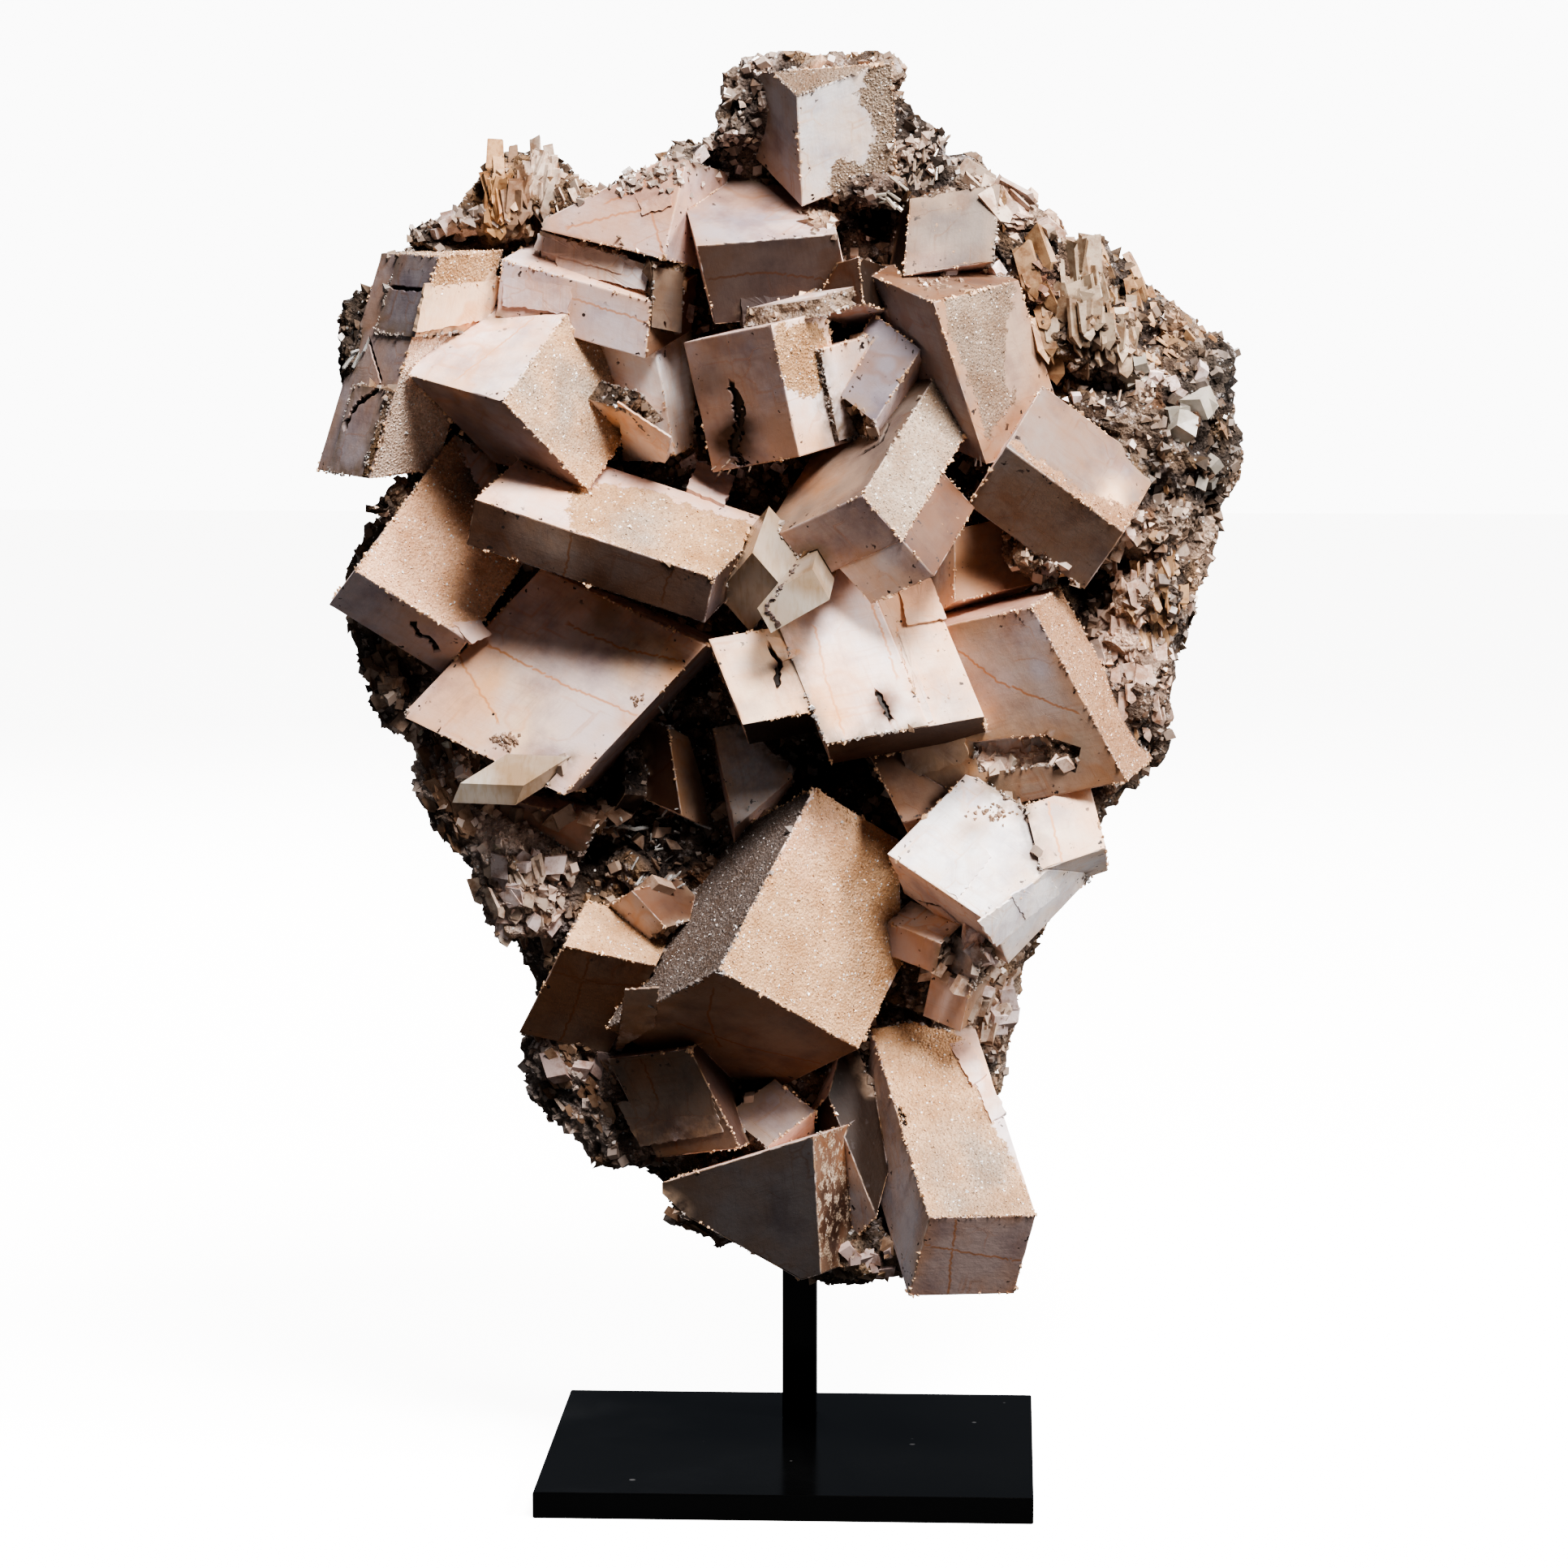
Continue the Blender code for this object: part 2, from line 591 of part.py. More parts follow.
def box(name, size, centre, collection, edge=0.0):
    """A square-cornered bar or plate, with its edges just eased."""
    bm = bmesh.new()
    bmesh.ops.create_cube(bm, size=1.0, matrix=Matrix.Diagonal((*size, 1.0)))
    made = object_from(bm, name, collection)
    made.location = centre
    if edge:
        eased = made.modifiers.new("eased_edges", "BEVEL")
        eased.width = edge
        eased.segments = 2
    return made


cluster = cluster_of(list(CRYSTALS))

for name, maker in (("calcite_centre", centre_calcite), ("calcite_left", left_calcite)):
    grown = gather(maker)
    made = solid_of(grown, name, SPECIMEN)
    made.data.materials.append(material(name, CALCITE_COLOUR, 0.25, transmission=0.5))
    boolean(cluster, as_cutter(solid_of(grown, name + "_pocket", CUTTERS, CALCITE_MARGIN)), "DIFFERENCE")

post_middle = POST_FRONT + POST_SIDE / 2
socket_side = POST_SIDE + 2 * GAP
socket = as_cutter(box("post_socket", (socket_side, socket_side, SOCKET_TOP),
                       (POST_X, post_middle, SOCKET_TOP / 2), CUTTERS))
boolean(cluster, socket, "DIFFERENCE")
keep_largest(cluster)
cluster.data.materials.append(material("dolomite", DOLOMITE_COLOUR, 0.55))

post_length = POST_TOP - BASE_SIZE[2] - GAP
post = box("stand_post", (POST_SIDE, POST_SIDE, post_length),
           (POST_X, post_middle, BASE_SIZE[2] + GAP + post_length / 2), SPECIMEN, POST_EDGE)
post.data.materials.append(material("stand_post", POST_COLOUR, 0.22))

base = box("stand_base", BASE_SIZE, (0.0, 0.0, BASE_SIZE[2] / 2), SPECIMEN, BASE_EDGE)
base.data.materials.append(material("stand_base", BASE_COLOUR, 0.12))
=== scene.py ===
import math
import random

import bmesh
import bpy
import numpy as np
from mathutils import Matrix, Vector, noise
from mathutils.bvhtree import BVHTree
from mathutils.geometry import delaunay_2d_cdt
from mathutils.kdtree import KDTree


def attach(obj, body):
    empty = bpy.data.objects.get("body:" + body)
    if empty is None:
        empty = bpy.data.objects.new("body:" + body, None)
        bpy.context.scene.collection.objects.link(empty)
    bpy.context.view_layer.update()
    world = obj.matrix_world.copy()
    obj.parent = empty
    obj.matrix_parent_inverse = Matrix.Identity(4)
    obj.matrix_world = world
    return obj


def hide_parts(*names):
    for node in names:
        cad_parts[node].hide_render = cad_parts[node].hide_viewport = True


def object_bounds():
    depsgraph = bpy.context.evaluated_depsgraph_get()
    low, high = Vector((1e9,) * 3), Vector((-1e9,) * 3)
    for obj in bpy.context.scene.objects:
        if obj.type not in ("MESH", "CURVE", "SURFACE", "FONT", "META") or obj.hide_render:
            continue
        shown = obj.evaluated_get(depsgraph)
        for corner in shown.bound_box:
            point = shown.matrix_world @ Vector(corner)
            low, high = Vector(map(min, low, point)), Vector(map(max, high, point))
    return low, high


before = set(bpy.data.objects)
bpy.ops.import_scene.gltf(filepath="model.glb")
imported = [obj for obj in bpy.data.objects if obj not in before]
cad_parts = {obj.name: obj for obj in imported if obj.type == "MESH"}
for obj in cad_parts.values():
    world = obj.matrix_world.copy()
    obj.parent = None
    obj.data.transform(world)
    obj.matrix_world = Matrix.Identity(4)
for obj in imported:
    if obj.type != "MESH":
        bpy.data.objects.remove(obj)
cad_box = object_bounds()
MM = 0.001


# The view from the front. The camera stands where the photograph was taken from. Places on
# the specimen are named by a point on its front sheet, 1932 units across and down, and the
# line of sight through that point is followed until it meets the piece that carries them.
EYE = Vector((0.077, -1.733, 0.456))
EYE_TURN = math.radians(-2.64)
EYE_DIP = math.radians(6.62)
SHEET = 1932.0
SHEET_SPAN = 5904.0
SENSOR = 36.0

LOOK = Vector((math.sin(EYE_TURN) * math.cos(EYE_DIP), math.cos(EYE_TURN) * math.cos(EYE_DIP),
               -math.sin(EYE_DIP)))
ACROSS = Vector((math.cos(EYE_TURN), -math.sin(EYE_TURN), 0.0))
UPWARD = ACROSS.cross(LOOK)

lens = bpy.data.cameras.new("front_view")
lens.sensor_width = SENSOR
lens.lens = SENSOR * SHEET_SPAN / SHEET
camera = bpy.data.objects.new("front_view", lens)
bpy.context.scene.collection.objects.link(camera)
turned = Matrix((ACROSS, UPWARD, -LOOK)).transposed().to_4x4()
turned.translation = EYE
camera.matrix_world = turned
bpy.context.scene.camera = camera


def sight(point):
    """The line of sight through a point of the front sheet."""
    across = (point[0] - SHEET / 2) / SHEET_SPAN
    down = (point[1] - SHEET / 2) / SHEET_SPAN
    return (LOOK + ACROSS * across - UPWARD * down).normalized()


def on_sheet(places):
    """Where places in the room are seen on the front sheet."""
    away = np.asarray(places) - np.array(EYE)
    ahead = away @ np.array(LOOK)
    across = SHEET / 2 + SHEET_SPAN * (away @ np.array(ACROSS)) / ahead
    down = SHEET / 2 - SHEET_SPAN * (away @ np.array(UPWARD)) / ahead
    return np.stack([across, down], axis=1)


def inside_box(places):
    """Keep places within the solids' own box."""
    return np.clip(places, np.array(cad_box[0]), np.array(cad_box[1]))


# The dolomite cluster: large pinkish white rhombs and the grey and brown rock that they grew
# on, one natural piece. Its solid is taken over face by face: crystal faces stay flat with
# worn edges, and the rock between them is broken up into lumps, pits and crumb.
WELD = 1e-6
SAME_PLANE = 3e-5
CRYSTAL_AREA = 220e-6
ROCK_FRONT = 1.75 * MM
ROCK_BACK = 5.5 * MM
FACE_FRONT = 3.0 * MM
FACE_BACK = 8.0 * MM
BACK_FROM = 0.008
EDGE_BAND = 0.55 * MM
SAME_WAY = 0.8


def welded(node):
    """The solid of a node of the frame, with its doubled points joined."""
    bm = bmesh.new()
    bm.from_mesh(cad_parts[node].data)
    bmesh.ops.remove_doubles(bm, verts=bm.verts, dist=WELD)
    bm.normal_update()
    bm.verts.index_update()
    bm.edges.index_update()
    bm.faces.index_update()
    return bm


def flat_groups(bm):
    """Faces that lie in one plane and touch, as lists, the largest face first in each."""
    group_of = {}
    groups = []
    for seed in sorted(bm.faces, key=lambda face: -face.calc_area()):
        if seed.index in group_of:
            continue
        normal = seed.normal.copy()
        level = normal.dot(seed.verts[0].co)
        group_of[seed.index] = len(groups)
        members = [seed]
        queue = [seed]
        while queue:
            for edge in queue.pop().edges:
                for face in edge.link_faces:
                    if face.index in group_of:
                        continue
                    if all(abs(v.co.dot(normal) - level) < SAME_PLANE for v in face.verts):
                        group_of[face.index] = len(groups)
                        members.append(face)
                        queue.append(face)
        groups.append(members)
    return groups, group_of


def spacing_at(y, crystal):
    """Mesh spacing: fine where the piece is seen from the front, coarse on its back."""
    if crystal:
        return FACE_FRONT if y < BACK_FROM else FACE_BACK
    return ROCK_FRONT if y < BACK_FROM else ROCK_BACK


solid = welded("dolomite_cluster")
groups, group_of = flat_groups(solid)
group_area = [sum(face.calc_area() for face in members) for members in groups]
group_normals = [members[0].normal.copy() for members in groups]
group_levels = [members[0].normal.dot(members[0].verts[0].co) for members in groups]
is_crystal = [area > CRYSTAL_AREA for area in group_area]

places = [vertex.co.copy() for vertex in solid.verts]
edge_points = {}
creases = set()
rim_runs = [[] for _ in groups]
for edge in solid.edges:
    sides = {group_of[face.index] for face in edge.link_faces}
    if len(sides) < 2:
        continue
    start, end = edge.verts
    for side in sides:
        rim_runs[side].append(end.co - start.co)
    middle = (start.co + end.co) / 2
    all_crystal = all(is_crystal[side] for side in sides)
    parts = max(1, round(edge.calc_length() / spacing_at(middle.y, all_crystal)))
    run = [start.index]
    for part in range(1, parts):
        places.append(start.co.lerp(end.co, part / parts))
        run.append(len(places) - 1)
    run.append(end.index)
    edge_points[edge.index] = run
    if all_crystal:
        creases.add(edge.index)

# A crystal splits along its own faces, so each face shows fine lines along its two longest
# sides that aren't alike
cleavage_axes = []
for number, runs in enumerate(rim_runs):
    runs.sort(key=lambda run: -run.length)
    along = runs[0].normalized()
    other = next((run.normalized() for run in runs if abs(run.normalized().dot(along)) < SAME_WAY),
                 group_normals[number].cross(along))
    cleavage_axes.append((group_normals[number].cross(along), group_normals[number].cross(other)))

# Each crystal face goes by a name, and is found by a point of the sheet that lies on it
FACE_AT = {
    "top_cap": (1001, 95), "top_right": (1040, 162), "top_left": (963, 170),
    "upper_left_front": (778, 264), "upper_left_strip": (849, 250),
    "upper_centre_top": (925, 266), "upper_centre_front": (937, 332), "upper_right": (1169, 285),
    "shoulder_strip": (549, 310), "shoulder_right": (561, 360), "shoulder_left": (499, 364),
    "shoulder_side": (464, 441), "foot_left": (437, 530), "foot_right": (505, 527),
    "ledge_top": (735, 322), "ledge_front": (713, 377),
    "ledge_end": (823, 371), "ledge_deep": (791, 471),
    "big_tan_top": (601, 436), "big_tan_front": (699, 498), "big_tan_under": (608, 530),
    "big_tan_side": (765, 517),
    "split_side": (837, 482), "split_left": (910, 490), "split_right": (989, 466),
    "split_back": (1037, 456), "behind_split": (1079, 454),
    "right_long_left": (1145, 424), "right_long_front": (1223, 440), "right_long_top": (1159, 348),
    "slab_top": (781, 634), "slab_front": (725, 692), "slab_end": (888, 727),
    "tall_left": (1033, 582), "tall_right": (1125, 570), "tall_under": (1036, 660),
    "tall_back": (1157, 646),
    "right_big_top": (1329, 564), "right_big_under": (1285, 638),
    "left_tan_main": (545, 684), "left_tan_under": (487, 766),
    "plate_main": (678, 838), "plate_edge": (785, 888),
    "wing": (935, 832), "stepped_main": (1039, 814), "stepped_rise": (1141, 810),
    "wing_under": (959, 898), "stepped_under": (1111, 912), "stepped_top": (1093, 706),
    "right_plate_front": (1255, 878), "right_plate_rim": (1339, 834), "right_plate_top": (1224, 748),
    "behind_plate": (1209, 698), "beside_tall": (1165, 718), "bite": (1247, 927),
    "hollow_right": (915, 950), "hollow_middle": (813, 944), "hollow_edge": (849, 962),
    "hollow_left": (759, 970), "hollow_low": (687, 1014),
    "bright_main": (1199, 1048), "bright_left": (1157, 1116), "bright_right": (1273, 1120),
    "small_right": (1313, 1020), "small_right_under": (1341, 1066),
    "step_top": (1139, 1138), "step_left": (1127, 1168), "step_middle": (1191, 1182),
    "step_low_right": (1203, 1234),
    "great_left": (880, 1122), "great_right": (1012, 1140), "great_under": (902, 1272),
    "left_low_top": (751, 1156), "left_low_front": (717, 1228),
    "small_mid_right": (825, 1110), "small_mid_left": (787, 1128),
    "low_left_front": (827, 1360), "low_left_edge": (890, 1345), "pale_hollow": (952, 1371),
    "low_centre_front": (939, 1482),
    "low_centre_right": (1023, 1472), "low_centre_back": (1053, 1478),
    "foot_neighbour": (1063, 1380), "foot_block_front": (1168, 1382), "foot_block_left": (1102, 1465),
    "foot_block_under": (1195, 1546),
    "under_bright": (1126, 978), "ledge_hollow": (810, 418), "behind_centre": (1042, 338),
    "behind_long": (1074, 366), "under_top": (1114, 266), "hollow_small": (766, 1006),
    "behind_pale": (1018, 1378),
}
solid_tree = BVHTree.FromBMesh(solid)
group_named = {}
for name, point in FACE_AT.items():
    index = solid_tree.ray_cast(EYE, sight(point))[2]
    group_named[name] = group_of[index]

# Thin rusty veins and dark open cracks, by the face that they cross and their route on the
# sheet, cracks with their width in mm. A vein lies level with the face, a crack is sunk in it.
VEIN_WIDTH = 1.4 * MM
VEINS = (
    ("plate_main", ((560, 800), (588, 848), (615, 888))),
    ("plate_main", ((604, 796), (700, 846), (790, 884))),
    ("plate_main", ((700, 770), (770, 800), (840, 815))),
    ("stepped_main", ((1004, 770), (1016, 830), (1040, 905))),
    ("stepped_main", ((1072, 738), (1090, 786), (1104, 834))),
    ("stepped_rise", ((1104, 775), (1120, 830), (1138, 892))),
    ("left_low_front", ((676, 1196), (740, 1212), (800, 1216))),
    ("left_low_front", ((726, 1180), (712, 1230), (690, 1285))),
    ("slab_front", ((704, 655), (700, 690), (690, 725))),
    ("slab_front", ((835, 690), (822, 715), (815, 745))),
    ("great_under", ((838, 1262), (920, 1290), (1010, 1310))),
    ("great_under", ((880, 1215), (872, 1250), (886, 1290))),
    ("foot_block_under", ((1118, 1530), (1200, 1545), (1272, 1556))),
    ("foot_block_under", ((1178, 1502), (1172, 1550), (1168, 1600))),
    ("upper_left_front", ((745, 250), (800, 228), (848, 205))),
    ("upper_left_front", ((792, 216), (806, 270), (818, 320))),
    ("upper_left_front", ((700, 280), (770, 262), (840, 250))),
    ("low_left_front", ((790, 1304), (812, 1360), (836, 1416))),
    ("low_left_front", ((756, 1372), (820, 1358), (882, 1344))),
    ("small_right", ((1290, 985), (1300, 1030), (1312, 1070))),
    ("big_tan_top", ((560, 470), (610, 430), (660, 390))),
    ("hollow_middle", ((800, 960), (840, 930), (862, 905))),
    ("ledge_front", ((640, 350), (720, 372), (800, 398))),
    ("right_plate_front", ((1180, 800), (1230, 840), (1330, 880))),
    ("upper_centre_front", ((870, 345), (940, 335), (1020, 345))),
)
CRACKS = (
    (1.2, "wing", ((952, 800), (960, 815), (957, 845))),
    (1.2, "stepped_main", ((1080, 852), (1088, 866), (1096, 886))),
    (3.2, "split_left", ((903, 474), (912, 520), (903, 556), (924, 580))),
    (1.6, "foot_left", ((426, 522), (440, 497), (468, 478))),
    (0.7, "shoulder_left", ((478, 352), (500, 356), (530, 357))),
    (0.7, "shoulder_side", ((455, 420), (470, 470), (455, 500))),
    (2.4, "foot_block_front", ((1106, 1362), (1112, 1380), (1108, 1396))),
    (1.2, "tall_left", ((1096, 520), (1085, 545), (1062, 560))),
    (1.4, "slab_end", ((880, 752), (905, 738), (925, 720))),
    (1.5, "left_tan_under", ((508, 768), (516, 782), (528, 786), (540, 802))),
    (1.0, "bright_left", ((1130, 1110), (1160, 1118), (1196, 1150))),
)
MARK_STEP = 3.0
MARK_DRIFT = 0.3
VEIN_HALF = 0.5
CRACK_HALF = (0.25, 0.75)
CRACK_LIP = 0.5 * MM
CRACK_SINK = 1.3 * MM
NO_LENGTH = 1e-7
marks_on = {}


def mark_face(name, route, width, crack):
    """Note the places along a mark and beside it, each with how much of the mark it holds."""
    ragged = random.Random(int(sum(route[0])))
    face = group_named[name]
    normal = group_normals[face]
    found = []
    for (x0, y0), (x1, y1) in zip(route, route[1:]):
        parts = max(2, int(math.hypot(x1 - x0, y1 - y0) / MARK_STEP))
        for part in range(parts):
            point = (x0 + (x1 - x0) * part / parts, y0 + (y1 - y0) * part / parts)
            place, _, index, _ = solid_tree.ray_cast(EYE, sight(point))
            if index is not None and group_of[index] == face:
                found.append(place)
    for before, place in zip(found, found[1:]):
        beside = normal.cross(place - before)
        if beside.length < NO_LENGTH:
            continue
        beside.normalize()
        drift = beside * ragged.uniform(-MARK_DRIFT, MARK_DRIFT) * width
        half = width * (ragged.uniform(*CRACK_HALF) if crack else VEIN_HALF)
        rows = ((0.0, 1.0), (half, float(crack)), (-half, float(crack)))
        if crack:
            rows += ((half + CRACK_LIP, 0.0), (-half - CRACK_LIP, 0.0))
        for shift, share in rows:
            marks_on.setdefault(face, []).append((place + drift + beside * shift, crack, share))


for name, route in VEINS:
    mark_face(name, route, VEIN_WIDTH, False)
for width, name, route in CRACKS:
    mark_face(name, route, width * MM, True)

# New triangles for each flat face: how far apart rows of points are and how far each point
# strays, both in spacings, and how far points keep from the rim and from each other
ROW_GAP = 0.87
STRAY = 0.15
OFF_RIM = 0.85
OFF_MARKS = 0.5 * MM
OFF_POINTS = 0.62
TOUCH_MM = 1e-5
AREA_SLIP = 0.001
triangles = []
triangle_group = []
vein_at = {}
crack_at = {}


def tree_of(points):
    """A search tree of flat points."""
    tree = KDTree(len(points))
    for i, (x, y) in enumerate(points):
        tree.insert((x, y, 0.0), i)
    tree.balance()
    return tree


def lies_on(made, corners, origin, along, beside, number):
    """Whether the middle of a flat triangle is on the solid's face, and not over a hole in it."""
    middle = sum((made[i] for i in corners), Vector((0.0, 0.0))) * (MM / 3)
    _, _, index, distance = solid_tree.find_nearest(origin + along * middle.x + beside * middle.y)
    return distance < 2 * SAME_PLANE and group_of[index] == number


def filled(faces, number):
    """Lay new triangles over flat faces that touch: points along the rim, a close row inside
    each sharp crystal edge, the face's marks, and loose rows between."""
    normal = groups[number][0].normal
    rims = {}
    for face in faces:
        for edge in face.edges:
            if edge.index in edge_points or len(faces) == 1:
                rims[edge.index] = edge
    longest = max(rims.values(), key=lambda edge: edge.calc_length())
    origin = longest.verts[0].co.copy()
    along = (longest.verts[1].co - origin).normalized()
    beside = normal.cross(along)
    rim_ids = []
    seen = {}
    pairs = []
    near_rim = []
    for index, edge in rims.items():
        run = edge_points.get(index, [edge.verts[0].index, edge.verts[1].index])
        for near, far in zip(run, run[1:]):
            for one in (near, far):
                if one not in seen:
                    seen[one] = len(rim_ids)
                    rim_ids.append(one)
            pairs.append((seen[near], seen[far]))
            if index in creases:
                a, b = places[near], places[far]
                side = normal.cross(b - a).normalized() * EDGE_BAND
                for share in (0.0, 0.5):
                    near_rim += [a.lerp(b, share) + side, a.lerp(b, share) - side]
    flat = [((places[i] - origin).dot(along), (places[i] - origin).dot(beside)) for i in rim_ids]
    tree = tree_of(flat)
    inner = []
    held = {}
    wishes = [(place, OFF_RIM * EDGE_BAND, None) for place in near_rim]
    wishes += [(place, OFF_MARKS, (crack, share)) for place, crack, share in marks_on.get(number, ())]
    for place, gap, mark in wishes:
        x, y = (place - origin).dot(along), (place - origin).dot(beside)
        if tree.find((x, y, 0.0))[2] > gap:
            if mark:
                held[len(flat) + len(inner)] = mark
            inner.append((x, y))
    tree = tree_of(flat + inner)
    spacing = spacing_at(places[rim_ids[0]].y, is_crystal[number])
    jitter = random.Random(number)
    low, high = np.min(flat, axis=0), np.max(flat, axis=0)
    for row in range(int((high[1] - low[1]) / (spacing * ROW_GAP)) + 1):
        for column in range(int((high[0] - low[0]) / spacing) + 1):
            x = low[0] + (column + 0.5 * (row % 2) + jitter.uniform(-STRAY, STRAY)) * spacing
            y = low[1] + (row + jitter.uniform(-STRAY, STRAY)) * spacing * ROW_GAP
            if tree.find((x, y, 0.0))[2] > OFF_POINTS * spacing:
                inner.append((x, y))
    total = [Vector((x / MM, y / MM)) for x, y in flat + inner]
    made, _, laid, sources, _, _ = delaunay_2d_cdt(total, pairs, [], 2, TOUCH_MM)
    laid = [face for face in laid if lies_on(made, face, origin, along, beside, number)]
    area = 0.0
    for face in laid:
        a, b, c = (made[i] for i in face)
        area += (b - a).cross(c - a) / 2 * MM * MM
    return laid, made, sources, rim_ids, origin, along, beside, area, held


def laid_down(faces, number):
    """Fill one flat group, or where its rim is tangled each of its faces by itself."""
    laid, made, sources, rim_ids, origin, along, beside, area, held = filled(faces, number)
    wanted = sum(face.calc_area() for face in faces)
    if abs(area - wanted) > AREA_SLIP * wanted and len(faces) > 1:
        for face in faces:
            laid_down([face], number)
        return
    index_of = {}
    for i in sorted({i for face in laid for i in face}):
        first = min(sources[i]) if sources[i] else -1
        if 0 <= first < len(rim_ids):
            index_of[i] = rim_ids[first]
        else:
            places.append(origin + along * made[i].x * MM + beside * made[i].y * MM)
            index_of[i] = len(places) - 1
            if first in held:
                crack, share = held[first]
                (crack_at if crack else vein_at)[index_of[i]] = share
    for face in laid:
        triangles.append([index_of[i] for i in face])
        triangle_group.append(number)


for number, members in enumerate(groups):
    laid_down(members, number)
solid.free()
places = np.array([tuple(place) for place in places])
triangles = np.array(triangles)
triangle_group = np.array(triangle_group)
is_crystal = np.array(is_crystal)
crystal_triangle = is_crystal[triangle_group]

on_rock = np.zeros(len(places), bool)
on_rock[triangles[~crystal_triangle].ravel()] = True
on_crystal = np.zeros(len(places), bool)
on_crystal[triangles[crystal_triangle].ravel()] = True
SIDES = ((0, 1), (1, 2), (2, 0))
links = np.unique(np.sort(np.concatenate([triangles[:, side] for side in SIDES]), axis=1), axis=0)
link_count = np.bincount(links.ravel(), minlength=len(places))


def spread(values):
    """Each value replaced by the mean of its neighbours' values."""
    values = np.asarray(values, float)
    flat = values.reshape(len(values), -1)
    total = np.zeros_like(flat)
    for column in range(flat.shape[1]):
        total[:, column] = np.bincount(links[:, 0], flat[links[:, 1], column], len(flat))
        total[:, column] += np.bincount(links[:, 1], flat[links[:, 0], column], len(flat))
    return (total / link_count[:, None]).reshape(values.shape)


def normals_of(points):
    """Vertex normals, weighted by the faces' areas."""
    a, b, c = (points[triangles[:, i]] for i in range(3))
    face = np.cross(b - a, c - a)
    total = np.zeros_like(points)
    for corner in range(3):
        for axis in range(3):
            total[:, axis] += np.bincount(triangles[:, corner], face[:, axis], len(points))
    return total / np.maximum(np.linalg.norm(total, axis=1), 1e-12)[:, None]


# Rock: the facets melt into each other, then lumps, broken blocks and pits stand out of it.
# Each has a height or depth, and a scale that is higher for smaller ones. FRACTAL is how fast
# the finer noise fades and how much finer it gets. The blocks' skew needs a seed.
NOISE_SEED = 3
FRACTAL = (0.9, 2.0)
CELL_STEP = 7.3
FRONT_TO = 0.03
ROCK_MELT = 0.6
ROCK_MELT_ROUNDS = 2
FADE_ROUNDS = 3
LUMP_HEIGHT = 2.6 * MM
LUMP_SCALE = 45.0
BLOCK_HEIGHT = 4.2 * MM
BLOCK_SCALE = 105.0
CHIP_HEIGHT = 2.4 * MM
CHIP_SCALE = 260.0
SKEW_MM = 3
SKEW_SCALE = 60.0
PIT_DEPTH = 4.5 * MM
PIT_SCALE = 75.0
PIT_FROM = 0.12
PIT_STEEP = 4.0
PIT_START = Vector((9.0, 3.0, 5.0))

rock_only = on_rock & ~on_crystal
for _ in range(ROCK_MELT_ROUNDS):
    places[rock_only] = places[rock_only] * (1 - ROCK_MELT) + spread(places)[rock_only] * ROCK_MELT
away_from_crystal = rock_only.astype(float)
for _ in range(FADE_ROUNDS):
    away_from_crystal = np.where(rock_only, spread(away_from_crystal), 0.0)
normals = normals_of(places)


def cell_height(where, scale):
    """A height that is the same all over each block of broken rock."""
    return noise.noise(noise.voronoi(where * scale)[1][0] * CELL_STEP)


noise.seed_set(NOISE_SEED)
lift = np.zeros(len(places))
for i in np.nonzero(rock_only)[0]:
    where = Vector(places[i])
    skewed = where + noise.noise_vector(where * SKEW_SCALE) * SKEW_MM * MM
    pit = max(0.0, noise.noise(where * PIT_SCALE + PIT_START) - PIT_FROM)
    lift[i] = (LUMP_HEIGHT * noise.fractal(where * LUMP_SCALE, *FRACTAL, 2)
               + BLOCK_HEIGHT * cell_height(skewed, BLOCK_SCALE)
               + CHIP_HEIGHT * cell_height(skewed, CHIP_SCALE)
               - PIT_DEPTH * min(1.0, PIT_STEEP * pit))
lift *= away_from_crystal
places += normals * lift[:, None]

# Open hollows in the rock: middle and spread on the sheet, and depth in mm
HOLLOWS = (
    ((1360, 468), (40, 15), 13), ((1388, 692), (24, 20), 11), ((1312, 702), (24, 14), 10),
    ((555, 290), (46, 11), 9), ((1100, 262), (24, 34), 13), ((836, 408), (18, 12), 9),
    ((1372, 560), (14, 22), 7), ((1425, 600), (20, 14), 6), ((440, 402), (10, 18), 5),
    ((1300, 470), (10, 16), 8), ((628, 215), (8, 30), 6), ((1380, 360), (9, 14), 6),
    ((740, 1040), (60, 24), 9), ((960, 945), (60, 30), 10), ((1480, 610), (12, 16), 6),
)
hollow = np.zeros(len(places))
for centre, reach, depth in HOLLOWS:
    across = (on_sheet(places) - centre) / reach
    share = np.exp(-np.sum(across ** 2, axis=1)) * rock_only * (places[:, 1] < FRONT_TO)
    places += np.array(LOOK) * (depth * MM * share * away_from_crystal)[:, None]
    hollow = np.maximum(hollow, share)

# Sharp crystal edges: worn back a little, unevenly, with chips where one of two noises, each
# given by its scale and threshold, is high. Cracks are sunk, and marks fade away from an edge.
WEAR = 0.16 * MM
CHIP = 0.9 * MM
CHIPPED = ((160.0, 0.25), (60.0, 0.35))
EDGE_FADE = (0.75, 0.5, 0.25)
crease_places = sorted({i for index in creases for i in edge_points[index]})
edge_wear = np.zeros(len(places))
edge_wear[crease_places] = 1.0
for i in crease_places:
    if not on_rock[i]:
        where = Vector(places[i])
        chip = sum(max(0.0, noise.noise(where * scale) - least) for scale, least in CHIPPED)
        places[i] -= normals[i] * (WEAR + CHIP * chip)
vein = np.zeros(len(places))
vein[list(vein_at)] = list(vein_at.values())
crack = np.zeros(len(places))
crack[list(crack_at)] = list(crack_at.values())
places -= normals * (CRACK_SINK * crack)[:, None]
places = inside_box(places)

